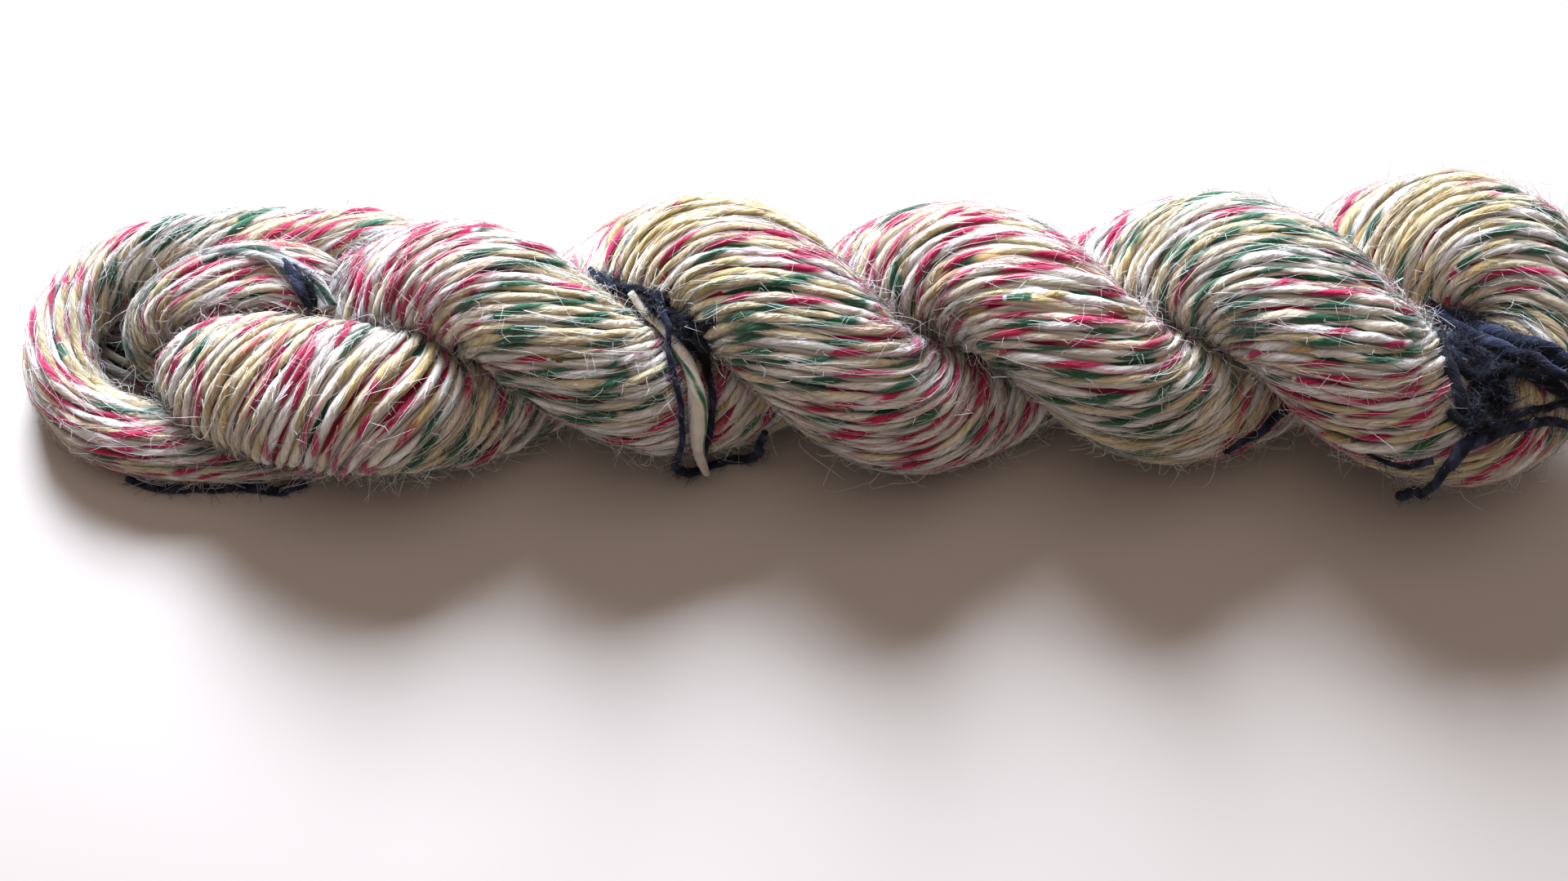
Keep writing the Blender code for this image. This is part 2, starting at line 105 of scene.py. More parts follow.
def smooth_between(knots, values, at):
    """A cubic through the values, whose slope at a knot is that of its two neighbours."""
    knots = np.asarray(knots, float)
    values = np.asarray(values, float)
    at = np.clip(at, knots[0], knots[-1])
    slopes = np.gradient(values, knots)
    left = np.clip(np.searchsorted(knots, at, side="right") - 1, 0, len(knots) - 2)
    span = knots[left + 1] - knots[left]
    part = (at - knots[left]) / span
    keep = (1 + 2 * part) * (1 - part) ** 2
    reach = part ** 2 * (3 - 2 * part)
    leave = part * (1 - part) ** 2 * span
    arrive = part ** 2 * (part - 1) * span
    return (keep * values[left] + reach * values[left + 1]
            + leave * slopes[left] + arrive * slopes[left + 1])


def read_table(rows, column, at):
    """One column of a table, read smoothly along its first column."""
    rows = np.asarray(rows, float)
    return smooth_between(rows[:, 0], rows[:, column], at)


# %% Even steps along a curve
FINE_POINTS = 400


def even_steps(curve, step):
    """The rows of a fine curve at even distances, with its first three columns as the place."""
    spans = np.linalg.norm(np.diff(curve[:, :3], axis=0), axis=1)
    reached = np.concatenate([[0.0], np.cumsum(spans)])
    wanted = np.linspace(0.0, reached[-1], max(3, round(reached[-1] / step) + 1))
    return np.stack([np.interp(wanted, reached, column) for column in curve.T], axis=1)


def along(rows, step):
    """Every column of a table of points, read at even steps along its own smooth curve."""
    table = np.array(rows, float)
    spans = np.linalg.norm(np.diff(table[:, :3], axis=0), axis=1)
    chords = np.concatenate([[0.0], np.cumsum(spans)])
    fine = np.linspace(0.0, chords[-1], FINE_POINTS)
    curve = np.stack([smooth_between(chords, column, fine) for column in table.T], axis=1)
    return even_steps(curve, step)


# %% Directions square to a line


def unit(vectors):
    """The vectors at length one."""
    return vectors / np.linalg.norm(vectors, axis=-1, keepdims=True)


def carried_frame(points):
    """Two directions square to the route at each point, carried along without twisting."""
    heading = unit(np.gradient(points, axis=0))
    side = np.cross(heading[0], (0.0, 0.0, 1.0))
    sides = []
    for ahead in heading:
        side = side - ahead * np.dot(side, ahead)
        side = side / np.linalg.norm(side)
        sides.append(side)
    sides = np.array(sides)
    return sides, np.cross(heading, sides)


def level_frame(points):
    """A level side vector and an up vector at each point."""
    heading = unit(np.gradient(points, axis=0))
    sides = unit(np.cross(heading, (0.0, 0.0, 1.0)))
    return sides, np.cross(heading, sides)


# %% Slow random lines


def wander(count, reached, spacing):
    """Smooth random lines, one row each, read at the distances reached: random heights every
    spacing, eased into each other."""
    knots = rng.normal(size=(count, int(reached[-1] / spacing) + 3))
    place = np.asarray(reached) / spacing
    left = place.astype(int)
    part = place - left
    part = part ** 2 * (3 - 2 * part)
    return knots[:, left] * (1 - part) + knots[:, left + 1] * part


# %% [markdown]
# ## A two-ply strand
# Hand-spun yarn is two thin threads twisted round each other. Two tubes for each strand would
# take twice the triangles, and a round tube with a bump would keep a straight edge. Cut across,
# the yarn is two discs side by side, which is an oval with a waist, and that section turns as it
# goes along. Each strand here is such a turning oval of eight corners, so both the rope-like
# outline and the coloured dashes come from the same turn. The map's first number runs along the
# strand in millimetres and its second goes once round the oval, so the material can tell one ply
# from the other.

# %% Tubes of yarn
# in millimetres: a strand's thickness, and one turn of its plies in the windings and the bands
YARN = 2.4
PLY_TURN = 20.0
BAND_PLY_TURN = 24.0
CORNERS = 8
# share of half the thickness: the oval's mean radius, and how far it swings either way
MEAN_RADIUS = 0.96
WAIST = 0.16
# how unevenly the plies turn: radians, and millimetres between one random value and the next
UNEVEN_TURN = (0.9, 16.0)
print(f"a strand is {YARN} mm thick and turns {1000 / PLY_TURN:.0f} times to the metre")


def yarn_rings(paths, outwards, thickness, ply_turn=PLY_TURN, corners=CORNERS, start=None,
               waist=WAIST):
    """Rings of a turning oval. The radius is half the thickness times the mean radius plus the
    waist times the cosine of twice the corner's angle. The whole ring turns left-handed once
    every ply_turn, from a random start. Also gives the distance run along each tube, and how far
    each corner faces outwards, from -1 to 1."""
    heading = unit(np.gradient(paths, axis=1))
    out = unit(outwards - heading * np.sum(outwards * heading, axis=-1, keepdims=True))
    side = np.cross(heading, out)
    spans = np.linalg.norm(np.diff(paths, axis=1), axis=-1)
    run = np.concatenate([np.zeros((len(paths), 1)), np.cumsum(spans, axis=1)], axis=1)
    if start is None:
        start = rng.uniform(0, 2 * math.pi, (len(paths), 1))
    unevenness = UNEVEN_TURN[0] * wander(len(paths), run.mean(axis=0), UNEVEN_TURN[1])
    corner = np.linspace(0.0, 2 * math.pi, corners, endpoint=False)
    angle = (start - 2 * math.pi * run / ply_turn + unevenness)[..., None] + corner
    radius = thickness[..., None] / 2 * (MEAN_RADIUS + waist * np.cos(2 * corner))
    rings = (paths[:, :, None, :]
             + (radius * np.cos(angle))[..., None] * out[:, :, None, :]
             + (radius * np.sin(angle))[..., None] * side[:, :, None, :])
    return rings, run, np.cos(angle)


# %% One mesh of many tubes
# the map's second number on the faces that close a tube: between the two plies
CAP_MAP = 0.25


def closed_tubes(name, rings, run, values=None, stripes=1.0, slant=None):
    """One mesh of many closed tubes. Quads join each ring to the next, and a face closes each end.
    The map's second number goes round the tube as many times as there are stripes, plus slant."""
    tubes, steps, corners, _ = rings.shape
    index = np.arange(tubes * steps * corners).reshape(tubes, steps, corners)
    here, there = index[:, :-1], index[:, 1:]
    quads = np.stack([here, np.roll(here, -1, 2), np.roll(there, -1, 2), there], axis=-1)
    caps = np.concatenate([index[:, 0, ::-1], index[:, -1, :]])
    loops = np.concatenate([quads.reshape(-1), caps.reshape(-1)])
    sizes = np.concatenate([np.full(quads.size // 4, 4), np.full(len(caps), corners)])
    mesh = bpy.data.meshes.new(name)
    mesh.vertices.add(rings.size // 3)
    mesh.vertices.foreach_set("co", placed(rings.reshape(-1, 3)).ravel())
    mesh.loops.add(len(loops))
    mesh.loops.foreach_set("vertex_index", loops.astype(np.int32))
    mesh.polygons.add(len(sizes))
    mesh.polygons.foreach_set("loop_start", (np.cumsum(sizes) - sizes).astype(np.int32))
    mesh.update(calc_edges=True)
    place = np.broadcast_to(run[:, :, None], index.shape)
    u_here, u_there = place[:, :-1], place[:, 1:]
    lean = np.zeros((tubes, steps)) if slant is None else slant
    around = np.arange(corners + 1) / corners * stripes
    v_here, v_there = lean[:, :-1, None] + around, lean[:, 1:, None] + around
    quad_uv = np.stack([np.stack([u_here, u_here, u_there, u_there], -1),
                        np.stack([v_here[..., :-1], v_here[..., 1:],
                                  v_there[..., 1:], v_there[..., :-1]], -1)], -1)
    cap_u = np.concatenate([place[:, 0, ::-1], place[:, -1, :]])
    cap_uv = np.stack([cap_u, np.full(cap_u.shape, CAP_MAP)], -1)
    layer = mesh.uv_layers.new(name="yarn")
    both = np.concatenate([quad_uv.reshape(-1, 2), cap_uv.reshape(-1, 2)])
    layer.data.foreach_set("uv", both.ravel())
    for key, value in (values or {}).items():
        spread = value if value.ndim == 3 else np.broadcast_to(value[:, :, None], index.shape)
        stored = mesh.attributes.new(key, "FLOAT", "POINT")
        stored.data.foreach_set("value", np.ascontiguousarray(spread, np.float32).ravel())
    mesh.shade_smooth()
    made = bpy.data.objects.new(name, mesh)
    bpy.context.scene.collection.objects.link(made)
    triangles = quads.size // 2 + len(caps) * (corners - 2)
    print(f"{name}: {tubes} strands, {triangles} triangles")
    return made


# %% What a piece is made of, and what it stands for


def dress(piece, wool, node=None):
    """Gives a piece its wool and its body, and lets it stand for a CAD node by hiding that node."""
    piece.data.materials.append(wool)
    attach(piece, "root")
    if node:
        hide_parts(node)


# %% [markdown]
# ## Wool
# Wool has no shine of its own: light goes a little way in among its fibres and comes out again.
# So each finish is rough, with some sheen and some light spread under its surface. Its fibres
# could be a picture, but that would blur close up. A noise drawn out along the strand stays
# sharp, and serves as the bump. All the wools use this grain, so it is one node group.

# %% Helpers for node trees


def add_node(tree, kind, **settings):
    """A new node with its settings."""
    made = tree.nodes.new(kind)
    for key, value in settings.items():
        setattr(made, key, value)
    return made


def feed(tree, target, source):
    """Sets a socket: a node's output is linked, a number or colour is written."""
    if isinstance(source, bpy.types.NodeSocket):
        tree.links.new(source, target)
    else:
        target.default_value = source


def attribute(tree, name):
    """A number that is stored on the mesh."""
    return add_node(tree, "ShaderNodeAttribute", attribute_name=name).outputs["Fac"]


def noise(tree, vector, scale, detail=2.0):
    """Soft random patches, as many to the unit of the vector as the scale says."""
    made = add_node(tree, "ShaderNodeTexNoise")
    made.inputs["Scale"].default_value = scale
    made.inputs["Detail"].default_value = detail
    feed(tree, made.inputs["Vector"], vector)
    return made.outputs["Fac"]


# %% Sums and colours in a node tree


def maths(tree, operation, *values, clamp=False):
    """One sum of numbers or of other nodes' numbers."""
    made = add_node(tree, "ShaderNodeMath", operation=operation, use_clamp=clamp)
    for socket, value in zip(made.inputs, values):
        feed(tree, socket, value)
    return made.outputs[0]


def mixed(tree, share, first, second, blend="MIX"):
    """The first colour where the share is 0, the second where it is 1."""
    made = add_node(tree, "ShaderNodeMix", data_type="RGBA", blend_type=blend)
    feed(tree, made.inputs[0], share)
    feed(tree, made.inputs[6], first)
    feed(tree, made.inputs[7], second)
    return made.outputs[2]


def times(tree, colour, shade):
    """One colour multiplied by another."""
    return mixed(tree, 1.0, colour, shade, "MULTIPLY")


def ramp(tree, value, stops):
    """A colour read from a row of stops, each a position and its colour."""
    made = add_node(tree, "ShaderNodeValToRGB")
    elements = made.color_ramp.elements
    while len(elements) < len(stops):
        elements.new(0.5)
    for element, (position, colour) in zip(elements, stops):
        element.position = position
        element.color = (*colour, 1.0)
    feed(tree, made.inputs[0], value)
    return made.outputs[0]


# %% A node group


def new_group(name, inputs, outputs):
    """An empty node group, with its input and output nodes."""
    group = bpy.data.node_groups.new(name, "ShaderNodeTree")
    for title, kind in inputs:
        group.interface.new_socket(title, in_out="INPUT", socket_type=kind)
    for title, kind in outputs:
        group.interface.new_socket(title, in_out="OUTPUT", socket_type=kind)
    return group, group.nodes.new("NodeGroupInput"), group.nodes.new("NodeGroupOutput")


# %% Wool grain, shared by every wool


def make_wool_grain():
    """Grain: noise on a map drawn out along the strand into fibres. Clumps: coarser noise."""
    group, given, result = new_group(
        "wool_grain",
        [("Map", "NodeSocketVector"), ("Object", "NodeSocketVector")],
        [("Grain", "NodeSocketFloat"), ("Clumps", "NodeSocketFloat")])
    stretch = add_node(group, "ShaderNodeMapping")
    stretch.inputs["Scale"].default_value = (0.16, 7.0, 1.0)
    feed(group, stretch.inputs["Vector"], given.outputs["Map"])
    feed(group, result.inputs["Grain"], noise(group, stretch.outputs[0], 2.0, 3.0))
    feed(group, result.inputs["Clumps"], noise(group, given.outputs["Object"], 260.0))
    return group


wool_grain = make_wool_grain()
print("wool grain:", len(wool_grain.nodes), "nodes")

# %% A wool material, to which each wool adds its own colour


def start_wool(name, roughness, sheen):
    """Material, tree, shader, coordinates, grain and clumps. The grain drives the bump."""
    material = bpy.data.materials.new(name)
    material.use_nodes = True
    tree = material.node_tree
    shader = tree.nodes["Principled BSDF"]
    shader.inputs["Roughness"].default_value = roughness
    shader.inputs["Specular IOR Level"].default_value = 0.12
    shader.inputs["Subsurface Weight"].default_value = 0.45
    shader.inputs["Subsurface Radius"].default_value = (1.0, 0.88, 0.76)
    shader.inputs["Subsurface Scale"].default_value = 0.0016
    shader.inputs["Sheen Weight"].default_value = sheen
    shader.inputs["Sheen Roughness"].default_value = 0.5
    place = add_node(tree, "ShaderNodeTexCoord")
    fibres = add_node(tree, "ShaderNodeGroup", node_tree=wool_grain)
    feed(tree, fibres.inputs["Map"], place.outputs["UV"])
    feed(tree, fibres.inputs["Object"], place.outputs["Object"])
    bump = add_node(tree, "ShaderNodeBump")
    bump.inputs["Strength"].default_value = 0.8
    bump.inputs["Distance"].default_value = 0.0006
    feed(tree, bump.inputs["Height"], fibres.outputs["Grain"])
    feed(tree, shader.inputs["Normal"], bump.outputs["Normal"])
    return material, tree, shader, place, fibres.outputs["Grain"], fibres.outputs["Clumps"]


# %% Which ply shows


def ply_wave(tree, place):
    """The map's turn round the strand: 1 on the first ply, -1 on the second, 0 between them."""
    split = add_node(tree, "ShaderNodeSeparateXYZ")
    feed(tree, split.inputs[0], place.outputs["UV"])
    return maths(tree, "COSINE", maths(tree, "MULTIPLY", split.outputs["Y"], 2 * math.pi))


def second_ply_mask(tree, wave, grain, width, ragged=1.2, slope=2.6):
    """One where the second ply shows, with a ragged, soft edge."""
    edge = maths(tree, "MULTIPLY_ADD", maths(tree, "SUBTRACT", grain, 0.5), ragged, width)
    return maths(tree, "MULTIPLY", maths(tree, "SUBTRACT", edge, wave), slope, clamp=True)


# %% [markdown]
# ## The marled wool of the windings
# One ply stays cream or straw, the other was dyed in long runs of crimson, green and ochre, so a
# winding shows dashes of one colour for a few centimetres and then of the next. With a material
# for each colour a strand could never change along its way. So one serves them all, and three
# numbers are stored along every strand: where it is in that run of dyes, how yellow its pale ply
# is, and how open it lies to the light, which is painted into its colour as shade. A dash has a
# ragged edge, because the fibres of the two plies mix, and shade is painted into the groove
# between the plies. The grain streaks both of them.

# %% Marled wool
CREAM = (0.82, 0.80, 0.78)
STRAW = (0.70, 0.585, 0.35)
CRIMSON = (0.45, 0.004, 0.065)
DEEP_ROSE = (0.47, 0.010, 0.085)
GREEN = (0.022, 0.115, 0.055)
OCHRE = (0.54, 0.41, 0.18)
DYE_RUN = ((0.00, CRIMSON), (0.36, DEEP_ROSE), (0.39, CREAM), (0.40, CREAM), (0.43, GREEN),
           (0.76, GREEN), (0.79, STRAW), (0.82, OCHRE), (0.92, OCHRE), (0.97, DEEP_ROSE))
# the ply wave's value at the groove's painted shade: a little on the second ply's side
GROOVE_AT = -0.30


def make_marled_wool():
    """The pale ply, the dyed one over it where its mask is 1, then painted shade in the groove,
    grain, and painted shade where the strand is less open to the light.
    """
    material, tree, shader, place, grain, clumps = start_wool(
        "marled_wool_strands", roughness=0.85, sheen=0.60)
    dyed = ramp(tree, maths(tree, "FRACT", attribute(tree, "dye")), DYE_RUN)
    cream = ramp(tree, attribute(tree, "pale"), ((0.30, CREAM), (0.80, STRAW)))
    wave = ply_wave(tree, place)
    mask = second_ply_mask(tree, wave, grain, width=-0.27, ragged=1.4, slope=3.2)
    # painted shade, darkest in the groove between the two plies
    groove_shade = ramp(tree, maths(tree, "ABSOLUTE", maths(tree, "SUBTRACT", wave, GROOVE_AT)),
                  ((0.0, (0.56, 0.54, 0.53)), (0.42, (1.0, 1.0, 1.0))))
    colour = times(tree, mixed(tree, mask, cream, dyed), groove_shade)
    streaks = ramp(tree, grain, ((0.36, (0.72, 0.69, 0.67)), (0.58, (1.04, 1.04, 1.04))))
    patches = ramp(tree, clumps, ((0.30, (0.84, 0.82, 0.80)), (0.62, (1.0, 1.0, 1.0))))
    # painted shade from the stored openness: darker in creases, in the dark places and between
    # strands
    shade = times(tree, times(tree, streaks, patches), attribute(tree, "open"))
    feed(tree, shader.inputs["Base Color"], times(tree, colour, shade))
    return material


marled_wool = make_marled_wool()
print("marled wool:", len(DYE_RUN), "stops in its run of dyes")

# %% [markdown]
# ## The route of the windings
# Both halves of the twist are right-handed helixes round one axis, half a turn apart, and the
# fold at the right joins them. Two halves made apart would leave ends to hide there, and the
# real windings have none. So all of them follow a single centre line: along the first half,
# round the fold, back along the second half, and down into the tucked end at the left.

# %% The centre line of the windings
PLY_PITCH = 116.0
LOBE_FACING = 122.0
FIRST_LOBE = -59.0
SECOND_LOBE = FIRST_LOBE + PLY_PITCH / 2
TWIST_LEAN = 0.2
LEAN_FADE = 30.0
TOP_BULGE = 0.05
BULGE_FACING = 10.0
TWIST_EASES_AT = 126.0
TWIST_FADE = 20.0
FOLD_START = 145.0
FOLD_DEPTH = 22.0
FOLD_OFFSET = 20.5
FOLD_RADIUS = 15.5
HALF_POINTS, FOLD_POINTS = 300, 120

# x, back, height of the twist's axis
TWIST_AXIS = ((-130, -0.5, 27.5), (-67, 0.0, 28.0), (-9, 1.0, 26.5),
              (49, 0.5, 29.0), (107, 0.5, 30.5), (170, 0.0, 32.0))
# x, distance of the half from the axis, its radius
FIRST_HALF = ((-120, 11.0, 14.0), (-86, 11.5, 15.0), (-28, 12.0, 15.5), (30, 14.0, 16.5),
              (88, 14.5, 16.5), (125, 18.0, 18.5), (FOLD_START, FOLD_OFFSET, 17.0))
SECOND_HALF = ((-86, 14.5, 16.5), (-28, 15.5, 17.5), (30, 15.5, 17.0), (88, 14.5, 17.0),
               (125, 17.0, 18.0), (FOLD_START, FOLD_OFFSET, 17.0))
# x, back, height, radius of the end that is tucked into the ring
TUCK = ((-147.5, 2.0, 9.5, 9.5), (-142, -4.0, 16.5, 13.5), (-130, -9.5, 22.5, 16.8),
        (-115, -13.5, 25.0, 18.0), (-100, -14.5, 25.0, 17.5))


# %% A half of the twist, and the fold


def twist_point(x, off_axis, angle):
    """A place at a distance from the twist's axis, at an angle from +Y towards +Z."""
    back = read_table(TWIST_AXIS, 1, x) + off_axis * np.cos(angle)
    height = read_table(TWIST_AXIS, 2, x) + off_axis * np.sin(angle)
    return np.stack([x, back, height], axis=1)


def half_angle(x, lobe):
    """The angle of a half round the axis: even along the skein, dying away before the fold."""
    past = np.maximum(x - TWIST_EASES_AT, 0.0)
    turned = np.minimum(x, TWIST_EASES_AT) + TWIST_FADE * (1.0 - np.exp(-past / TWIST_FADE))
    even = 2.0 * math.pi * (turned - lobe) / PLY_PITCH
    to_fold = np.clip((FOLD_START - x) / LEAN_FADE, 0.0, 1.0)
    lean = TWIST_LEAN * to_fold ** 2 * (3.0 - 2.0 * to_fold)
    return math.radians(LOBE_FACING) + even + lean * np.sin(even)


def half_curve(rows, lobe):
    """A helix from the table's first place to the fold: place and radius."""
    x = np.linspace(rows[0][0], FOLD_START, HALF_POINTS)
    angle = half_angle(x, lobe)
    swell = 1.0 + TOP_BULGE * np.cos(angle - math.radians(BULGE_FACING))
    places = twist_point(x, read_table(rows, 1, x), angle)
    return np.column_stack([places, read_table(rows, 2, x) * swell])


def fold_curve(first_radius, last_radius):
    """Half a turn from one half to the other: offset falls as the cosine, depth as the sine."""
    swing = np.linspace(0.0, math.pi, FOLD_POINTS)[1:-1]
    x = FOLD_START + FOLD_DEPTH * np.sin(swing)
    places = twist_point(x, FOLD_OFFSET * np.cos(swing), half_angle(x, FIRST_LOBE))
    ends = np.where(swing < math.pi / 2, first_radius, last_radius)
    return np.column_stack([places, ends + (FOLD_RADIUS - ends) * np.sin(swing) ** 2])


# %% One centre line for all the windings
# millimetres between rings, which are closer to the left of the tuck's X
WINDING_STEP, TUCK_STEP = 1.25, 0.55
TUCK_X = -78.0
first_half = half_curve(FIRST_HALF, FIRST_LOBE)
second_half = half_curve(SECOND_HALF, SECOND_LOBE)
second_half = np.vstack([np.array(TUCK, float), second_half[:-1:12], second_half[-1:]])
second_half = along(second_half, TUCK_STEP)[::-1]
fold = fold_curve(first_half[-1, 3], second_half[0, 3])
wound = np.vstack([first_half, fold, second_half[second_half[:, 0] > TUCK_X]])
tuck = even_steps(second_half[second_half[:, 0] <= TUCK_X], TUCK_STEP)
route = np.vstack([even_steps(wound, WINDING_STEP), tuck])
in_tuck = np.arange(len(route)) >= len(route) - len(tuck)
print(f"windings' centre line: {len(route)} rings, {in_tuck.sum()} of them in the tucked end")

# %% [markdown]
# ## The ring and the throat
# At the left the loop's end stands open as a ring, and the tucked end comes up through it. These
# two are bands, wider than they are high, with strands that run almost along them, so each has a
# table of its own and not a place on the twist's line. With all the centre lines known, a place
# can be asked how deep it lies in a crease between two parts. The shade painted into the wool
# and the fibres both need that.

# %% Tables of the bands
# x, back, height, half width, half height
RING = ((-80, 15.0, 17.0, 8.0, 9.0), (-93, 26.0, 17.5, 8.8, 11.0), (-108, 30.5, 18.0, 9.3, 12.0),
        (-124, 31.5, 18.0, 9.3, 12.0), (-141, 32.5, 16.5, 9.2, 12.0), (-157, 32.0, 14.5, 9.0, 12.0),
        (-170, 27.5, 12.5, 8.8, 11.5), (-178, 19.0, 11.5, 8.5, 11.5), (-181, 8.5, 10.5, 8.4, 11.0),
        (-179, -1.5, 10.0, 8.4, 10.8), (-172, -10.0, 9.5, 8.4, 10.3), (-160, -15.5, 9.0, 8.4, 10.0),
        (-146, -17.5, 9.0, 8.4, 9.8), (-130, -17.0, 9.0, 8.4, 9.5), (-115, -14.0, 9.0, 8.4, 9.0),
        (-100, -9.0, 11.0, 8.0, 8.0))
THROAT = ((-142, -3.0, 8.5, 6.5, 6.5), (-151, 0.5, 8.5, 7.0, 7.0), (-157, 7.0, 12.5, 7.5, 7.5),
          (-155, 12.5, 18.0, 8.3, 8.0), (-147, 15.5, 22.5, 9.3, 8.5), (-136, 16.5, 25.5, 10.0, 9.0),
          (-123, 14.0, 28.0, 10.0, 9.0), (-113, 9.0, 25.5, 9.5, 8.5), (-105, 3.0, 18.0, 8.5, 7.5))
COVER_STEP = 3.0
# each part's centre line and radii: the windings, then the two bands
ALL_LINES = [(route[:, :3], route[:, 3])]
for rows in (RING, THROAT):
    band = along(rows, COVER_STEP)
    ALL_LINES.append((band[:, :3], np.minimum(band[:, 3], band[:, 4])))
print("rings of the centre lines:", [len(line) for line, _ in ALL_LINES])

# %% How far a place is from the rest of the skein
# millimetres along its own line that never cover a place
OWN_STRETCH = 42.0
FAR_AWAY = 1e3


def cover_distance(points, own_line, own_index):
    """How far each point lies outside every tube of the skein but its own stretch."""
    nearest = np.full(len(points), FAR_AWAY)
    for number, (line, radii) in enumerate(ALL_LINES):
        away = np.linalg.norm(points[:, None, :] - line[None, ::3], axis=-1) - radii[None, ::3]
        if number == own_line:
            reached = np.cumsum(np.linalg.norm(np.diff(line, axis=0, prepend=line[:1]), axis=1))
            apart = np.abs(reached[None, ::3] - reached[own_index][:, None])
            away = np.where(apart < OWN_STRETCH, FAR_AWAY, away)
        nearest = np.minimum(nearest, away.min(axis=1))
    return nearest


# %% How open a place is to the light
# x, back, height, reach and share of the light that is lost
DARK_PLACES = ((-160.0, 9.0, 6.0, 16.0, 0.80), (24.0, -7.0, 38.0, 8.0, 0.55))
DEEPEST_SHADE = 0.26
LIT_RANGE = 0.74
# where the light starts to grow and over what span: by millimetres of cover, and by facing
COVER_SPAN = (-0.8, 6.2)
FACING_SPAN = (-0.15, 0.85)


def lit(value, start, span):
    """Light that grows from the deepest shade to 1 while the value climbs a span from its start."""
    return np.clip(DEEPEST_SHADE + LIT_RANGE * (value - start) / span, DEEPEST_SHADE, 1.0)


def openness(paths, own_line, facing):
    """How much light reaches each corner of each ring, which is painted into the wool's colour as
    shade: 1 in the open, less where another part touches, in the dark places, and on the sides
    that face the next strand."""
    ring_at = np.arange(paths.shape[1]) * len(ALL_LINES[own_line][0]) // paths.shape[1]
    cover = np.array([cover_distance(path, own_line, ring_at) for path in paths])
    kept = np.ones(paths.shape[:2])
    for *place, reach, lost in DARK_PLACES:
        away = np.linalg.norm(paths - place, axis=-1)
        kept = kept * (1.0 - lost * np.exp(-(away / reach) ** 2))
    return (lit(cover, *COVER_SPAN) * kept)[..., None] * lit(facing, *FACING_SPAN)


# %% [markdown]
# ## Laying the windings
# The loop was twisted before it was folded, so the strands wind left-handed round this centre
# line: steep as they climb over the top of a lobe, level across its middle. In the tucked end the
# twist is tighter. Copies of one perfect strand would look like a cable. So every strand sways a
# little, lies a little higher or lower than its neighbours and is thick in one place and thin in
# another, as hand-spun yarn is.

# %% Lay strands round a centre line
# how far a strand's place in the turn may be off, as a share of the space between two strands
UNEVEN_SHARE = 0.15
# how much a strand sways (radians), lifts (mm) and swells (share), and over how many millimetres
SHORT_SWAY, LONG_SWAY = (0.034, 22.0), (0.030, 95.0)
LIFT = (0.38, 12.0)
SWELL = (0.18, 9.0)
THINNEST, THICKEST = 0.62 * YARN, 1.5 * YARN
CLEARANCE = 1.0
FLOOR_EASE = 0.7


def lay_strands(line, sides, ups, count, twist, wave=1.0, sunk=None):
    """Strand paths on an oval round a centre line, whose last two columns are the oval's half
    width and half height. The angle of a strand is its own share of the turn plus the twist
    summed along the line, plus a slow sway. Where sunk is above nought every second strand lies
    that much deeper. Heights below the clearance are pressed up to it by a soft step, the
    logarithm of one plus an exponential."""
    centre, half_widths, half_heights = line[:, :3], line[:, 3], line[:, 4]
    spans = np.linalg.norm(np.diff(centre, axis=0, prepend=centre[:1]), axis=1)
    reached = np.cumsum(spans * np.sqrt(1.0 + (twist * half_widths) ** 2))
    share = (np.arange(count) + rng.uniform(-UNEVEN_SHARE, UNEVEN_SHARE, count)) / count
    sway = SHORT_SWAY[0] * wave * wander(count, reached, SHORT_SWAY[1])
    sway = sway + LONG_SWAY[0] * wave * wander(count, reached, LONG_SWAY[1])
    lift = LIFT[0] * wave * wander(count, reached, LIFT[1])
    if sunk is not None:
        lift[1::2] -= sunk
    angle = 2 * math.pi * share[:, None] + np.cumsum(twist * spans)[None, :] + sway
    across = (half_widths - YARN / 2)[None, :] + lift
    upward = (half_heights - YARN / 2)[None, :] + lift
    cosine, sine = np.cos(angle)[..., None], np.sin(angle)[..., None]
    paths = centre + across[..., None] * cosine * sides + upward[..., None] * sine * ups
    outwards = unit(cosine * sides / half_widths[:, None] + sine * ups / half_heights[:, None])
    thickness = YARN * (1.0 + SWELL[0] * wander(count, reached, SWELL[1]))
    above = (paths[..., 2] - CLEARANCE) / FLOOR_EASE
    paths[..., 2] = CLEARANCE + FLOOR_EASE * np.logaddexp(0.0, above)
    return paths, outwards, np.clip(thickness, THINNEST, THICKEST)


# %% [markdown]
# ## The run of dyes
# The yarn was dyed in long runs before it was wound, so neighbours that lie together came from
# places far apart on it, yet patches of one colour do gather here and there. Colours drawn freely
# for each strand would spread too evenly. So each strand has its own start in the run of dyes,
# and near a few chosen places many of the strands are drawn towards one dye.

# %% The dyes along the strands
# x, back, height, reach, dye and the share of strands that take it, where one dye is gathered
DYE_ZONES = (
    (-98, 12, 42, 16, 0.18, 0.75), (-140, -24, 30, 12, 0.87, 0.60), (-175, 2, 13, 17, 0.87, 0.50),
    (-60, -14, 36, 13, 0.60, 0.55), (20, -18, 36, 13, 0.18, 0.45), (-112, -24, 32, 12, 0.18, 0.55),
    (-32, 11, 48, 17, 0.87, 0.80), (42, 8, 52, 17, 0.18, 0.70), (108, 6, 54, 15, 0.60, 0.55),
    (118, -18, 42, 14, 0.18, 0.50), (142, 10, 50, 13, 0.87, 0.50), (-140, 16, 33, 13, 0.18, 0.45),
)
# millimetres of yarn for one run of all the dyes
DYE_LENGTH = 190.0
# parts of a run by which strands differ: smoothly, over how many of them, and at random
SMOOTH_CHANGE, RANDOM_CHANGE = (0.30, 5.0), 0.42
# how far the dye and the pale ply stray along a strand, and over how many millimetres
DYE_STRAYS, PALE_STRAYS = (0.12, 40.0), (0.22, 45.0)
# a zone's pull at its middle, and the most it may be
PULL, STRONGEST_PULL = 1.8, 0.96
# dyes past this one are yellow, and zones of them make the pale ply that much yellower
YELLOW_DYES, YELLOW_PULL = 0.8, 0.45
STRAWIEST = 0.86
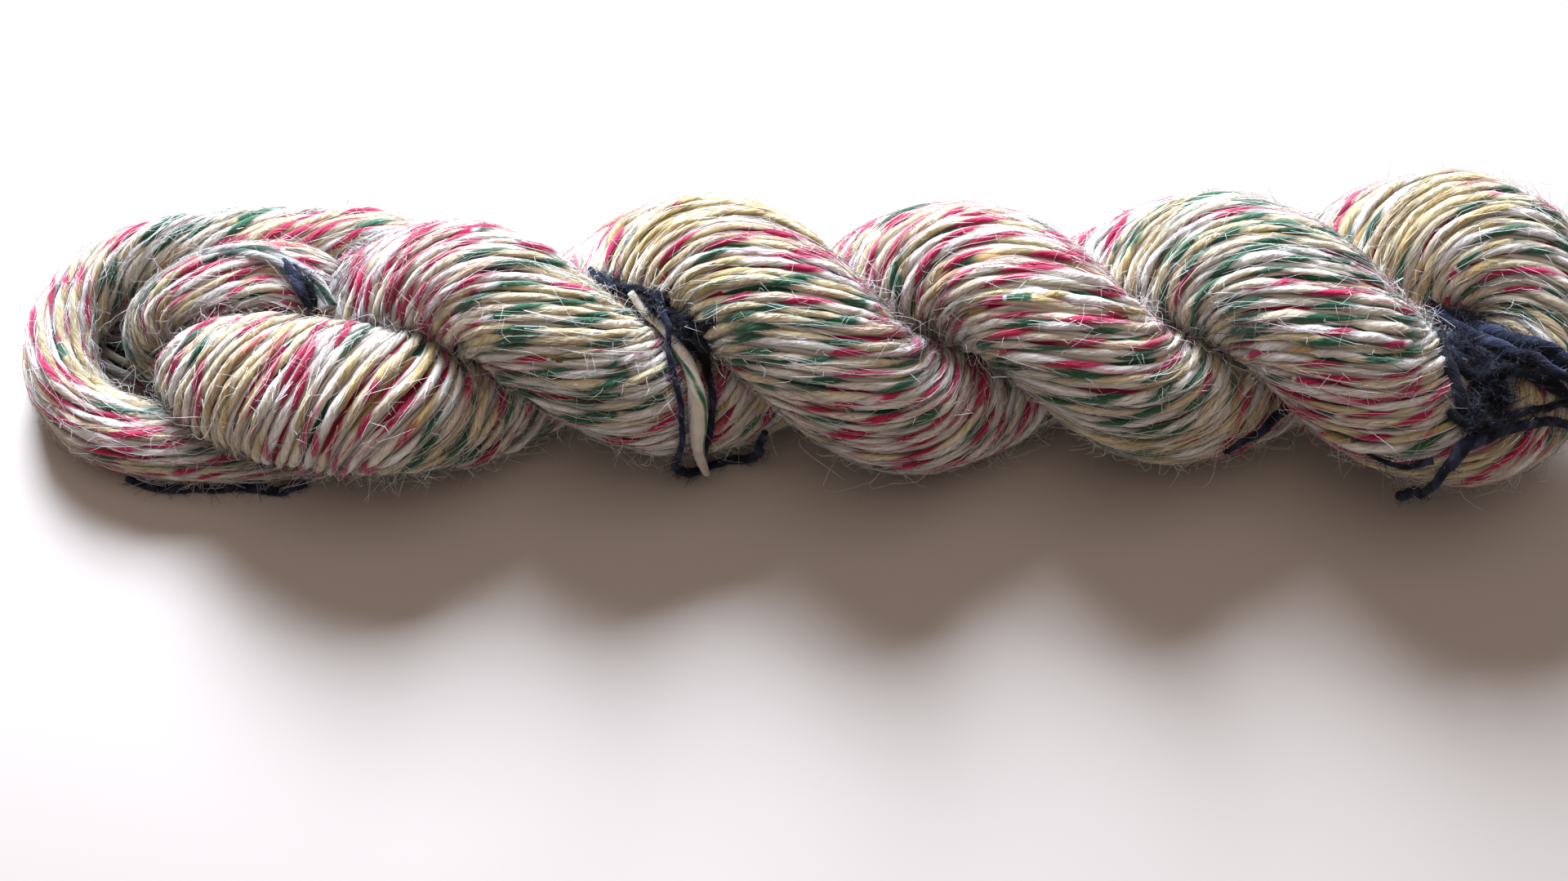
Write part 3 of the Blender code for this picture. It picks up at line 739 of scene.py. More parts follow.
# whole runs added, so that the dye is never below nought
SPARE_RUNS = 10.0
print(len(DYE_ZONES), "places where one dye gathers")


def dye_values(paths, run):
    """Where each strand is in its run of dyes, and how straw-coloured its pale ply is. In a zone
    the dye is pulled round its circle towards the wanted one, three times over, by the sine of
    what is missing, so that no strand changes colour at one ring."""
    count, reached = len(run), run.mean(axis=0)
    strand = SMOOTH_CHANGE[0] * wander(1, np.arange(count), SMOOTH_CHANGE[1])[0]
    strand = strand + rng.uniform(0.0, RANDOM_CHANGE, count)
    dye = strand[:, None] + run / DYE_LENGTH
    dye = dye + DYE_STRAYS[0] * wander(count, reached, DYE_STRAYS[1])
    pale = rng.uniform(0.0, STRAWIEST, (count, 1))
    pale = pale + PALE_STRAYS[0] * wander(count, reached, PALE_STRAYS[1])
    for *place, reach, wanted, share in DYE_ZONES:
        away = np.linalg.norm(paths - place, axis=-1)
        chosen = rng.uniform(0.0, 1.0, (count, 1)) < share
        pull = chosen * np.minimum(STRONGEST_PULL, PULL * np.exp(-(away / reach) ** 2))
        for _ in range(3):
            dye = dye + pull * np.sin(2 * math.pi * (wanted - dye)) / (2 * math.pi)
        pale = pale + YELLOW_PULL * pull * (wanted > YELLOW_DYES)
    return {"dye": dye + SPARE_RUNS, "pale": np.clip(pale, 0.0, 1.0)}


def spin(paths, outwards, thickness, ply_turn=PLY_TURN):
    """Rings of dyed strands that end at the table: rings, run, facing and the stored values."""
    rings, run, facing = yarn_rings(paths, outwards, thickness, ply_turn)
    rings[..., 2] = np.maximum(rings[..., 2], 0.0)
    return rings, run, facing, dye_values(paths, run)


# %% The windings, in four pieces
WINDINGS = 32
TWIST = -0.068
TUCK_TWIST = -0.145
TUCK_EASE = 20.0
TUCK_SUNK = 3.0
tucked = np.clip((TUCK_X - route[:, 0]) / TUCK_EASE, 0.0, 1.0) * in_tuck
twist = TWIST + (TUCK_TWIST - TWIST) * tucked
route_sides, route_ups = carried_frame(route[:, :3])
round_route = np.column_stack([route, route[:, 3]])
paths, outwards, thickness = lay_strands(round_route, route_sides, route_ups, WINDINGS, twist,
                                         sunk=TUCK_SUNK * tucked)
rings, run, facing, values = spin(paths, outwards, thickness)
values["open"] = openness(paths, 0, facing)
for number, part in enumerate(np.array_split(np.arange(WINDINGS), 4)):
    some = {key: value[part] for key, value in values.items()}
    piece = closed_tubes(f"windings_{number + 1}", rings[part], run[part], some)
    dress(piece, marled_wool, "hank")
# every part's paths, outward directions and stored values, in the order of ALL_LINES
laid = [(paths, outwards, values)]

# %% [markdown]
# ## What fills the skein
# Between the strands one sees more wool, in shade. A second layer of strands would show it, at
# the cost of as many triangles again. A core just under the strands closes the gaps with few. It
# is striped as the strands over it run, and each stripe has its own dye and its own round back,
# with colours painted darker as shade and painted shade at its edges, so no smooth tube shows
# through.

# %% Cores
CORE_INSET = 1.1
CORE_CORNERS = 24
CORE_FLOOR = 0.3


def make_core(name, line, sides, ups, count, twist):
    """One closed tube along the centre line, its section an oval a strand's thickness smaller. Its
    map leans with the twist, so that stripes on it run as the strands do. Every third ring of the
    strands' line is enough for it."""
    line, sides, ups, twist = line[::3], sides[::3], ups[::3], twist[::3]
    centre = line[:, :3]
    corner = np.linspace(0.0, 2 * math.pi, CORE_CORNERS, endpoint=False)
    across = ((line[:, 3:4] - CORE_INSET) * np.cos(corner))[..., None] * sides[:, None, :]
    upward = ((line[:, 4:5] - CORE_INSET) * np.sin(corner))[..., None] * ups[:, None, :]
    tube = (centre[:, None, :] + across + upward)[None]
    tube[..., 2] = np.maximum(tube[..., 2], CORE_FLOOR)
    spans = np.linalg.norm(np.diff(centre, axis=0, prepend=centre[:1]), axis=1)
    slant = -np.cumsum(twist * spans) * count / (2 * math.pi)
    core = closed_tubes(name, tube, np.cumsum(spans)[None], stripes=count, slant=slant[None])
    dress(core, core_wool, "hank")


# %% Wool of the cores
# the windings' cream and dyes painted darker, as the shade that the cores lie in
SHADED_CORE_CREAM = (0.68, 0.62, 0.55, 1.0)
SHADED_GREEN = (0.012, 0.075, 0.035)
SHADED_OCHRE = (0.46, 0.30, 0.12)
SHADED_CRIMSON = (0.30, 0.003, 0.04)
# how fast a stripe's dye changes to the millimetre, and how far apart two stripes read the noise
CORE_DYE_PACE, STRIPES_APART = 0.03, 7.3
# parts of a turn of the plies: across a stripe, and from one stripe to the next
TURN_ACROSS, TURN_BETWEEN = 0.5, 0.37
# the ply wave's value where a dash starts, and how steeply the dye comes in
CORE_EDGE, EDGE_SLOPE = -0.15, 3.0
CORE_BUMP = 0.0012


def make_core_wool():
    """Stripes one strand wide, each rounded by its bump and by painted shade that is dark between
    them, and dashed by the same turn of two plies as the strands above, with its own slowly
    changing dye in colours painted darker as shade."""
    material, tree, shader, place, grain, _ = start_wool("core_wool", roughness=0.95, sheen=0.1)
    split = add_node(tree, "ShaderNodeSeparateXYZ")
    feed(tree, split.inputs[0], place.outputs["UV"])
    strand = maths(tree, "FLOOR", split.outputs["Y"])
    across = maths(tree, "FRACT", split.outputs["Y"])
    joined = add_node(tree, "ShaderNodeCombineXYZ")
    feed(tree, joined.inputs["X"], maths(tree, "MULTIPLY", split.outputs["X"], CORE_DYE_PACE))
    feed(tree, joined.inputs["Y"], maths(tree, "MULTIPLY", strand, STRIPES_APART))
    dyed = ramp(tree, noise(tree, joined.outputs[0], 1.0), (
        (0.36, SHADED_GREEN), (0.46, SHADED_GREEN), (0.48, SHADED_OCHRE), (0.52, SHADED_OCHRE),
        (0.54, SHADED_CRIMSON), (0.64, SHADED_CRIMSON)))
    turn = maths(tree, "MULTIPLY_ADD", split.outputs["X"], 1.0 / PLY_TURN,
                 maths(tree, "MULTIPLY_ADD", across, TURN_ACROSS,
                       maths(tree, "MULTIPLY", strand, TURN_BETWEEN)))
    wave = maths(tree, "COSINE", maths(tree, "MULTIPLY", turn, 2 * math.pi))
    mask = maths(tree, "MULTIPLY", maths(tree, "SUBTRACT", CORE_EDGE, wave), EDGE_SLOPE, clamp=True)
    colour = mixed(tree, mask, SHADED_CORE_CREAM, dyed)
    round_back = maths(tree, "SINE", maths(tree, "MULTIPLY", across, math.pi))
    # painted shade: dark at each stripe's edges, where the strands meet
    shade = ramp(tree, round_back, ((0.0, (0.36, 0.32, 0.30)), (0.7, (0.95, 0.95, 0.95))))
    feed(tree, shader.inputs["Base Color"], times(tree, colour, shade))
    bump = tree.nodes["Bump"]
    bump.inputs["Distance"].default_value = CORE_BUMP
    feed(tree, bump.inputs["Height"], maths(tree, "MULTIPLY_ADD", grain, 0.25, round_back))
    return material


core_wool = make_core_wool()
make_core("windings_core", round_route, route_sides, route_ups, WINDINGS, twist)

# %% Ring and throat
# name, table, strands, twist at the back and at the front
BANDS = (("ring", RING, 27, -0.055, -0.012), ("throat", THROAT, 22, -0.020, -0.020))
BAND_STEP = 1.3
# millimetres back where the front's twist ends, and over how many it fades
FRONT_ENDS, FRONT_FADE = 4.0, 18.0

for name, rows, count, twist_back, twist_front in BANDS:
    line = along(rows, BAND_STEP)
    sides, ups = level_frame(line[:, :3])
    to_back = np.clip((line[:, 1] - FRONT_ENDS) / FRONT_FADE, 0.0, 1.0)
    twist = twist_front + (twist_back - twist_front) * to_back
    paths, outwards, thickness = lay_strands(line, sides, ups, count, twist)
    rings, run, facing, values = spin(paths, outwards, thickness, BAND_PLY_TURN)
    values["open"] = openness(paths, len(laid), facing)
    dress(closed_tubes(name, rings, run, values), marled_wool, "hank")
    make_core(name + "_core", line, sides, ups, count, twist)
    laid.append((paths, outwards, values))

# %% [markdown]
# ## Strands inside the ring
# Through the ring's opening one sees a few strands low down in the dark, and two that cross over
# the throat. Both could be left to the cores, but a hole with stripes in it looks painted. They
# are laid as the others are, with less light on the low ones.

# %% Strands that lie low in the ring
# x, back, height, half width, half height
IN_THE_RING = ((-176, 12.0, 4.5, 4.5, 3.6), (-168, 9.0, 5.0, 8.0, 4.2), (-160, 6.5, 5.5, 9.0, 4.6),
               (-151, 4.0, 6.0, 8.0, 5.0))
INSIDE_STRANDS, INSIDE_TWIST, INSIDE_WAVE = 16, 0.03, 1.6
IN_THE_SHADE = 0.12
line = along(IN_THE_RING, BAND_STEP)
sides, ups = level_frame(line[:, :3])
strands = lay_strands(line, sides, ups, INSIDE_STRANDS, np.full(len(line), INSIDE_TWIST),
                      wave=INSIDE_WAVE)
rings, run, _, values = spin(*strands)
# painted shade: the low strands in the ring's hole are darkened as the shade there
values["open"] = np.full(run.shape, IN_THE_SHADE)
dress(closed_tubes("ring_inside", rings, run, values), marled_wool, "hank")

# %% Two strands that cross over the throat
OVER_THE_THROAT = ((-145.0, 21.6, 30.9), (-139.5, 22.1, 32.6), (-133.2, 20.9, 35.0),
                   (-127.7, 18.2, 37.4), (-123.1, 15.5, 38.0), (-118.2, 12.4, 37.9),
                   (-114.6, 8.9, 37.0), (-111.7, 4.1, 35.4))
# millimetres: the second strand beside the first, each one's height, how far they stray
BESIDE, ABOVE, OVER_STRAYS = 2.0, 0.4, (0.35, 9.0)
OVER_YARN = 2.2
GREEN_DYE, MOSTLY_CREAM = SPARE_RUNS + 0.55, 0.2
line = along(OVER_THE_THROAT, 1.0)
sides, ups = carried_frame(line)
two = np.stack([line + ABOVE * ups, line + BESIDE * sides - ABOVE * ups])
two = two + OVER_STRAYS[0] * wander(2, np.arange(len(line)), OVER_STRAYS[1])[..., None] * ups
rings, run, facing = yarn_rings(two, np.stack([ups, ups]), np.full(two.shape[:2], OVER_YARN))
# open is painted shade, set by which way each side of the strands faces
values = {"dye": np.full(run.shape, GREEN_DYE), "pale": np.full(run.shape, MOSTLY_CREAM),
          "open": np.clip(0.6 + 0.5 * facing, 0.4, 1.0)}
dress(closed_tubes("over_the_throat", rings, run, values), marled_wool, "hank")

# %% [markdown]
# ## Navy ties and the loose end
# The ties are a dark two-ply wool and the loose end is the skein's own yarn, thicker where it
# hangs free. They could be left as the plain tubes of the CAD model, but their plies show as
# clearly as those of the windings, so they are turning ovals too. Their routes are those of the
# CAD solids.

# %% Navy wool and cream wool
# roughness and sheen, the dark and the light ply, the edge between them, patches, grain's depth
FREE_WOOLS = {
    "navy_wool_strands": ((0.95, 0.05), (0.010, 0.012, 0.023), (0.024, 0.029, 0.052), (0.0,),
                          ((0.35, (0.6, 0.6, 0.6)), (0.65, (1.6, 1.6, 1.7))), 0.0009),
    # the same navy painted much darker, as the shade that the knots and their wads lie in
    "navy_wool_shaded": ((0.95, 0.05), (0.004, 0.004, 0.006), (0.010, 0.011, 0.016), (0.0,),
                         ((0.35, (0.6, 0.6, 0.6)), (0.65, (1.6, 1.6, 1.7))), 0.0009),
    # the loose end's cream is the skein's own, painted darker as the shade that it hangs in
    "shaded_cream_wool_strand": ((0.85, 0.25), (0.68, 0.62, 0.53), (0.03, 0.14, 0.07),
                          (-0.93, 0.14, 14.0),
                          ((0.30, (0.82, 0.80, 0.78)), (0.62, (1.0, 1.0, 1.0))), 0.0006),
}


def make_free_wool(name):
    """Two plies of two colours under coarser patches that are lighter and darker at random. The
    cream wool's second ply is so thin that it shows as one green line round the strand."""
    finish, first, second, edge, patches, depth = FREE_WOOLS[name]
    material, tree, shader, place, grain, clumps = start_wool(name, *finish)
    mask = second_ply_mask(tree, ply_wave(tree, place), grain, *edge)
    colour = mixed(tree, mask, (*first, 1.0), (*second, 1.0))
    tree.nodes["Bump"].inputs["Distance"].default_value = depth
    feed(tree, shader.inputs["Base Color"], times(tree, colour, ramp(tree, clumps, patches)))
    return material


def make_navy_fuzz():
    """Navy fibres with a painted highlight: patches of dark and of a much paler blue that stands
    for the light they catch.
    """
    material, tree, shader, _, _, clumps = start_wool("navy_wool_fuzz", roughness=0.9, sheen=0.0)
    colour = ramp(tree, clumps, ((0.42, (0.008, 0.010, 0.018)), (0.62, (0.048, 0.060, 0.105))))
    feed(tree, shader.inputs["Base Color"], colour)
    return material


navy_wool, shaded_navy, shaded_cream_wool = [make_free_wool(name) for name in FREE_WOOLS]
navy_fuzz = make_navy_fuzz()
print("wools of the free strands:", ", ".join(FREE_WOOLS))

# %% Routes of the free strands
# x, back, height, factor on the thickness
ROUTES = {
    "yarn_end": (
        (-42.5, 3.3, 42.9, 0.65), (-39.6, -0.6, 41.3, 0.75), (-35.7, -4.1, 40.2, 0.75),
        (-32.1, -8.5, 39.8, 0.95), (-28.9, -13.4, 37.5, 1.35), (-27.2, -18.8, 33.7, 1.75),
        (-27.1, -23.0, 28.3, 1.6), (-27.4, -24.7, 22.0, 1.15), (-27.0, -24.8, 15.5, 0.9),
        (-26.4, -24.2, 10.5, 0.8), (-26.0, -23.8, 7.2, 0.8), (-25.8, -23.5, 6.0, 0.6),
        (-25.75, -23.45, 5.5, 0.3)),
    "tie_middle_crease": (
        (-53.0, 11.2, 40.0, 0.8), (-49.4, 7.4, 41.0, 1.0), (-46.0, 4.8, 41.4, 1.2)),
    "tie_middle_left": (
        (-37.0, 1.4, 45.6, 0.9), (-35.1, -2.9, 44.6, 0.9), (-33.9, -8.0, 43.2, 0.8),
        (-32.9, -13.6, 39.9, 0.8), (-31.6, -19.5, 36.1, 0.8), (-31.0, -23.8, 30.8, 0.8),
        (-31.1, -25.7, 24.3, 0.8), (-31.9, -25.6, 17.0, 0.8), (-32.5, -24.6, 10.0, 0.9),
        (-32.2, -22.6, 4.6, 1.2), (-29.6, -21.2, 1.7, 1.2), (-25.2, -19.4, 1.5, 1.1),
        (-20.6, -17.6, 1.5, 1.1), (-16.4, -17.2, 2.6, 1.2), (-13.8, -18.2, 6.6, 1.2),
        (-13.0, -18.7, 11.6, 1.1), (-12.2, -18.2, 16.6, 1.0)),
    "tie_middle_right": (
        (-31.8, -5.4, 37.6, 1.0), (-27.2, -8.0, 35.6, 1.0), (-24.4, -12.6, 33.8, 0.9),
        (-23.6, -17.4, 31.0, 0.9), (-23.8, -21.0, 26.4, 0.9), (-24.4, -22.8, 20.6, 0.9),
        (-25.4, -22.6, 14.6, 0.8)),
    "tie_left_knot": (
        (-124.0, 15.2, 38.9, 0.8), (-121.4, 11.4, 38.9, 1.4), (-118.8, 7.2, 37.6, 1.5),
        (-116.8, 3.6, 35.6, 0.9)),
    "tie_left_tail": (
        (-163.5, -22.6, 1.5, 0.9), (-160.5, -23.6, 1.4, 1.1), (-156.0, -25.0, 1.4, 1.1),
        (-150.0, -25.2, 1.4, 1.1), (-144.0, -25.4, 1.4, 1.0), (-138.0, -25.2, 1.4, 1.0),
        (-132.0, -25.2, 1.4, 1.2), (-126.0, -25.0, 1.5, 1.3), (-120.5, -23.8, 1.4, 1.0)),
    "tie_lower_right": (
        (108.6, -15.6, 23.4, 1.3), (105.6, -18.6, 23.2, 1.3), (102.2, -21.4, 22.4, 1.1),
        (98.0, -23.8, 21.4, 0.9), (93.6, -26.0, 20.4, 0.6)),
    "tie_end_upper": (
        (149.6, -3.4, 37.6, 1.3), (153.4, -8.6, 42.0, 1.5), (159.6, -12.6, 44.0, 1.5),
        (166.4, -15.3, 43.6, 1.4), (172.6, -16.9, 40.3, 1.3), (177.6, -17.4, 35.4, 1.0)),
    "tie_end_middle": (
        (149.4, -14.2, 44.0, 1.0), (155.0, -16.4, 43.4, 1.3), (161.6, -19.2, 41.9, 1.4),
        (167.8, -21.1, 39.0, 1.3), (173.4, -22.1, 34.6, 1.0)),
    "tie_end_lower": (
        (172.6, -25.4, 30.6, 1.0), (167.4, -26.2, 34.0, 1.2), (161.0, -27.8, 36.8, 1.3),
        (154.4, -30.4, 38.2, 1.4), (148.6, -32.9, 39.2, 1.9), (143.4, -35.5, 37.9, 1.9),
        (140.4, -37.6, 32.6, 1.3), (139.2, -38.0, 26.4, 1.2), (138.0, -36.4, 20.2, 1.1),
        (136.6, -33.6, 14.6, 1.2), (135.2, -31.4, 9.6, 1.4)),
    "tie_end_side": (
        (122.4, -33.7, 34.2, 0.4), (127.4, -35.2, 32.6, 0.6), (132.8, -36.4, 33.0, 0.8),
        (137.2, -36.0, 35.6, 1.0)),
}


# %% A free strand
LOOSE_YARN = 2.6
TIE_YARN = 1.9
# millimetres for one turn of the plies, and the angle at which the loose end's turn starts
LOOSE_TURN, LOOSE_START = 70.0, 3.96
TIE_TURN = 7.0
KNOT_TURN = 12.0
FREE_STEP = 0.8
NAVY_WAIST = 0.07
# how far a navy strand strays sideways and upwards, and over what length
NAVY_STRAYS = (0.35, 0.30)
STRAY_LENGTH = 4.5
# lowest middle of a navy strand, and lowest skin of any free strand
NAVY_FLOOR = 1.2
TUBE_FLOOR = 0.02
navy_lines = []


def make_free_strand(name, rows, wool, thickness, ply_turn, node, start=None):
    """A turning two-ply oval along a route. A navy strand has a shallower waist, and wanders a
    little to either side of its route and above and below it."""
    line = along(rows, FREE_STEP)
    sides, ups = carried_frame(line[:, :3])
    navy = wool is not shaded_cream_wool
    if navy:
        reached = FREE_STEP * np.arange(len(line))
        for size, way in zip(NAVY_STRAYS, (sides, ups)):
            line[:, :3] += size * wander(1, reached, STRAY_LENGTH)[0][:, None] * way
        line[:, 2] = np.maximum(line[:, 2], NAVY_FLOOR)
        navy_lines.append(line[:, :3])
    rings, run, _ = yarn_rings(line[None, :, :3], sides[None], thickness * line[None, :, 3],
                               ply_turn, corners=9, start=start,
                               waist=NAVY_WAIST if navy else WAIST)
    rings[..., 2] = np.maximum(rings[..., 2], TUBE_FLOOR)
    piece = closed_tubes(name, rings, run)
    dress(piece, wool, node)
    return piece, line[:, :3], run[0, -1]


# %% The free strands
# node and its route
for node, rows in ROUTES.items():
    wool, thick, turn, start = ((shaded_cream_wool, LOOSE_YARN, LOOSE_TURN, LOOSE_START)
                                if node == "yarn_end" else (navy_wool, TIE_YARN, TIE_TURN, None))
    strand, line, length = make_free_strand(node + "_wool", rows, wool, thick, turn, node, start)
    print(f"{node}: {length:.0f} mm of wool")

# %% [markdown]
# ## The knots
# A knot in soft wool is a lump of strands that press into each other until one can't be told from
# the next. A knot tied strand by strand would be full of gaps. So each is a few thick strands
# side by side that follow what shows of the real one, with matted fibres over them further on.

# %% More strands of the knots
# the node that a strand belongs to, then its route
KNOT_STRANDS = (
    ("tie_end_upper", (
        (140.6, 2.6, 39.0, 0.9), (145.0, 0.8, 38.2, 1.4), (149.4, -3.4, 39.6, 1.7),
        (153.4, -8.4, 43.8, 1.8), (159.0, -11.4, 45.8, 1.8), (166.0, -14.0, 45.2, 1.6),
        (172.6, -16.2, 41.6, 1.4), (176.6, -17.0, 36.5, 1.0))),
    ("tie_end_upper", (
        (140.2, -1.6, 42.0, 0.9), (144.6, -4.4, 41.6, 1.4), (149.0, -8.0, 41.6, 1.6),
        (153.0, -12.4, 44.8, 1.7), (158.0, -15.6, 46.2, 1.6), (164.5, -18.2, 44.6, 1.4),
        (170.5, -19.2, 40.6, 1.0))),
    ("tie_end_upper", (
        (143.2, 3.4, 33.8, 1.0), (147.0, 0.2, 33.2, 1.5), (149.6, -3.6, 35.4, 1.7),
        (147.6, -7.4, 39.4, 1.7), (144.0, -9.0, 43.0, 1.6), (142.4, -13.6, 46.4, 1.5),
        (144.0, -18.0, 46.8, 1.0))),
    ("tie_end_middle", (
        (141.0, -15.0, 47.0, 1.0), (144.6, -19.6, 46.6, 1.5), (149.4, -20.4, 45.2, 1.7),
        (154.6, -18.4, 44.4, 1.7), (160.0, -19.0, 44.2, 1.6), (165.4, -20.8, 42.4, 1.4),
        (171.0, -22.2, 38.0, 1.0))),
    ("tie_end_middle", (
        (140.8, -9.0, 45.2, 1.0), (140.6, -16.0, 47.4, 1.4), (141.4, -21.4, 47.2, 1.6),
        (142.8, -26.0, 45.2, 1.7), (144.4, -29.8, 42.6, 1.6), (148.6, -31.6, 40.6, 1.2))),
    ("tie_end_middle", (
        (144.6, -11.4, 43.2, 1.0), (149.2, -13.8, 42.6, 1.6), (152.6, -17.6, 43.0, 1.7),
        (151.4, -22.4, 42.8, 1.8), (147.6, -25.6, 43.4, 1.8), (146.4, -29.0, 42.0, 1.4))),
    ("tie_end_lower", (
        (139.4, -29.4, 44.0, 0.9), (143.0, -31.2, 42.8, 1.4), (147.4, -31.4, 41.6, 1.7),
        (152.2, -29.8, 40.4, 1.4), (157.4, -27.2, 39.8, 1.1), (163.2, -24.6, 38.4, 1.0),
        (170.0, -22.2, 35.8, 0.9))),
    ("tie_middle_crease", (
        (-52.7, 12.9, 38.0, 0.6), (-50.0, 9.4, 39.2, 0.9), (-46.6, 6.5, 40.4, 1.1),
        (-43.1, 3.9, 41.2, 1.2), (-40.0, 1.0, 40.6, 1.2), (-36.6, -1.4, 39.4, 1.2))),
    ("tie_middle_crease", (
        (-51.0, 11.4, 39.0, 0.5), (-47.4, 7.8, 40.4, 0.8), (-44.0, 5.3, 42.2, 0.9),
        (-40.7, 3.7, 43.6, 1.0), (-37.2, 1.1, 44.4, 1.1), (-33.6, -0.8, 45.6, 1.0))),
    ("tie_middle_right", (
        (-36.0, 0.2, 44.0, 1.0), (-32.6, -2.8, 43.8, 1.5), (-29.6, -4.8, 42.6, 1.7),
        (-27.4, -7.0, 43.0, 1.6), (-24.6, -8.0, 46.4, 1.2), (-22.4, -8.4, 49.4, 0.8))),
    ("tie_middle_right", (
        (-34.4, -3.2, 42.6, 1.0), (-31.4, -4.8, 43.4, 1.6), (-28.2, -7.2, 43.6, 1.7),
        (-26.6, -9.4, 40.6, 1.5), (-25.2, -11.0, 36.0, 1.2), (-24.6, -14.4, 33.8, 0.9))),
    ("tie_left_knot", (
        (-121.4, 13.6, 38.2, 0.8), (-118.8, 9.6, 38.0, 1.2), (-116.0, 5.8, 36.6, 1.3),
        (-114.2, 3.6, 34.4, 0.9))),
)
for number, (node, rows) in enumerate(KNOT_STRANDS):
    # strands of the upper end tie keep the plain navy, the others take the navy with painted shade
    wool = navy_wool if node == "tie_end_upper" else shaded_navy
    make_free_strand(f"knot_strand_{number + 1}", rows, wool, TIE_YARN, KNOT_TURN, node)

# %% [markdown]
# ## Fuzz
# Hand-spun wool is hairy: long fibres lie matted over the strands, short ones stand off them,
# more of them show along the rim against the light, and a few very long ones float free. Blender's
# hair could grow them, but it asks for a skin to grow from, and it can't tell a crease from a
# rim. So each is a thin three-cornered tube that leaves a strand's outer side and bends over, or
# runs along with the strands. A root counts only where no other part of the skein covers it, so
# no fibre is spent inside.

# %% Roots of the fibres
TOWARDS_VIEWER = np.array((0.0, -math.cos(ELEVATION), math.sin(ELEVATION)))
# how many places are tried for each root that is wanted, on the rim and elsewhere
RIM_TRIES, TRIES = 12, 6
# how far out a root stands, as a share of the strand's thickness
ROOT_OUT = 0.42
# cover below which a place is in a crease, and the chance of a place that is more open
CREASE_COVER, OPEN_CHANCE = 3.5, 0.55
# outward directions lower than this are underneath: their chance in front and behind
UNDERNEATH, UNDER_FRONT, UNDER_BACK = -0.3, 0.9, 0.25
# least cover of a root, and of one on the rim, and how far from square to the view a rim goes
LEAST_COVER, RIM_COVER, RIM_WIDTH = -0.2, 1.0, 0.35
LOWEST_ROOT = 1.2
LOWEST_FIBRE = 0.15
# a fibre's thickness at its tip, as a share of that at its root
TIP = 0.45
NO_TURN = 1e6


def pick_roots(paths, outwards, own_line, wanted, rim):
    """Random places on the outer side of strands: root, outward, heading, strand, ring. Places in
    a crease are always kept, open ones often, and those underneath seldom. On the rim only those
    count that face neither the photograph's viewpoint nor away from it."""
    tries = wanted * (RIM_TRIES if rim else TRIES)
    strand = rng.integers(0, paths.shape[0], tries)
    ring = rng.integers(1, paths.shape[1] - 1, tries)
    outward = outwards[strand, ring]
    root = paths[strand, ring] + outward * YARN * ROOT_OUT
    heading = unit(paths[strand, ring + 1] - paths[strand, ring - 1])
    line_ring = ring * len(ALL_LINES[own_line][0]) // paths.shape[1]
    cover = cover_distance(root, own_line, line_ring)
    luck = rng.uniform(0.0, 1.0, tries)
    under = np.where(outward[:, 1] < 0.0, UNDER_FRONT, UNDER_BACK)
    chance = np.where(cover < CREASE_COVER, 1.0, OPEN_CHANCE)
    chance = chance * np.where(outward[:, 2] < UNDERNEATH, under, 1.0)
    if rim:
        chance = np.exp(-((outward @ TOWARDS_VIEWER) / RIM_WIDTH) ** 2) * (cover > RIM_COVER)
    good = (cover > LEAST_COVER) & (root[:, 2] > LOWEST_ROOT) & (luck < chance)
    keep = np.flatnonzero(good)[:wanted]
    return root[keep], outward[keep], heading[keep], strand[keep], ring[keep]


# %% Paths of the fibres
# how much a fibre slants along its strand and across it, how much it curls and how fast
SLANTS = (1.0, 0.9)
CURL, CURL_PACE = 0.20, 4.5
# a wisp: rings from one point to the next, drift by slope and by swing in millimetres, the
# swing's pace, heights as shares of the strand's radius, and its highest arch
WISP_STRIDE = 3
WISP_SLOPE, WISP_SWING, SWING_PACE = 2.4, 0.5, 6.0
WISP_HEIGHTS, WISP_ARCH = (0.85, 1.25), 0.8


def fibres(roots, outward, heading, lengths, lift, fall, points):
    """Paths that leave a strand's side at a random slant and arch over: root + length * (slant * t
    + lift * outward * (t - fall * t squared)), with a little curl, kept off the floor."""
    count = len(roots)
    slant = unit(heading * rng.normal(0, SLANTS[0], (count, 1))
                 + np.cross(heading, outward) * rng.normal(0, SLANTS[1], (count, 1)))
    curl = rng.normal(0, CURL, (count, 3))
    t = np.linspace(0.0, 1.0, points)[None, :, None]
    rise = (lift[:, None, None] * outward[:, None]) * (t - fall * t ** 2)
    paths = roots[:, None] + lengths[:, None, None] * (
        slant[:, None] * t + rise + curl[:, None] * np.sin(CURL_PACE * t))
    paths[..., 2] = np.maximum(paths[..., 2], LOWEST_FIBRE)
    return paths


def wisps(paths, outwards, strand, ring, points):
    """Long fibres lying along the strands: the strand's own path, carried outwards by its radius
    and a low arch, and drifting sideways over its neighbours by a slope and a sine."""
    count = len(strand)
    first = np.minimum(ring, paths.shape[1] - WISP_STRIDE * points - 1)
    at = first[:, None] + WISP_STRIDE * np.arange(points)
    places, out = paths[strand[:, None], at], outwards[strand[:, None], at]
    side = np.cross(unit(np.gradient(places, axis=1)), out)
    t = np.linspace(0.0, 1.0, points)
    slope = rng.normal(0, WISP_SLOPE, (count, 1))
    swing = rng.normal(0, WISP_SWING, (count, 1))
    drift = slope * (t - 0.3) + swing * np.sin(SWING_PACE * t + rng.uniform(0, 6, (count, 1)))
    height = (YARN / 2 * rng.uniform(*WISP_HEIGHTS, (count, 1))
              + rng.uniform(0.0, WISP_ARCH, (count, 1)) * np.sin(math.pi * t))
    grown = places + height[..., None] * out + drift[..., None] * side
    grown[..., 2] = np.maximum(grown[..., 2], LOWEST_FIBRE)
    return grown


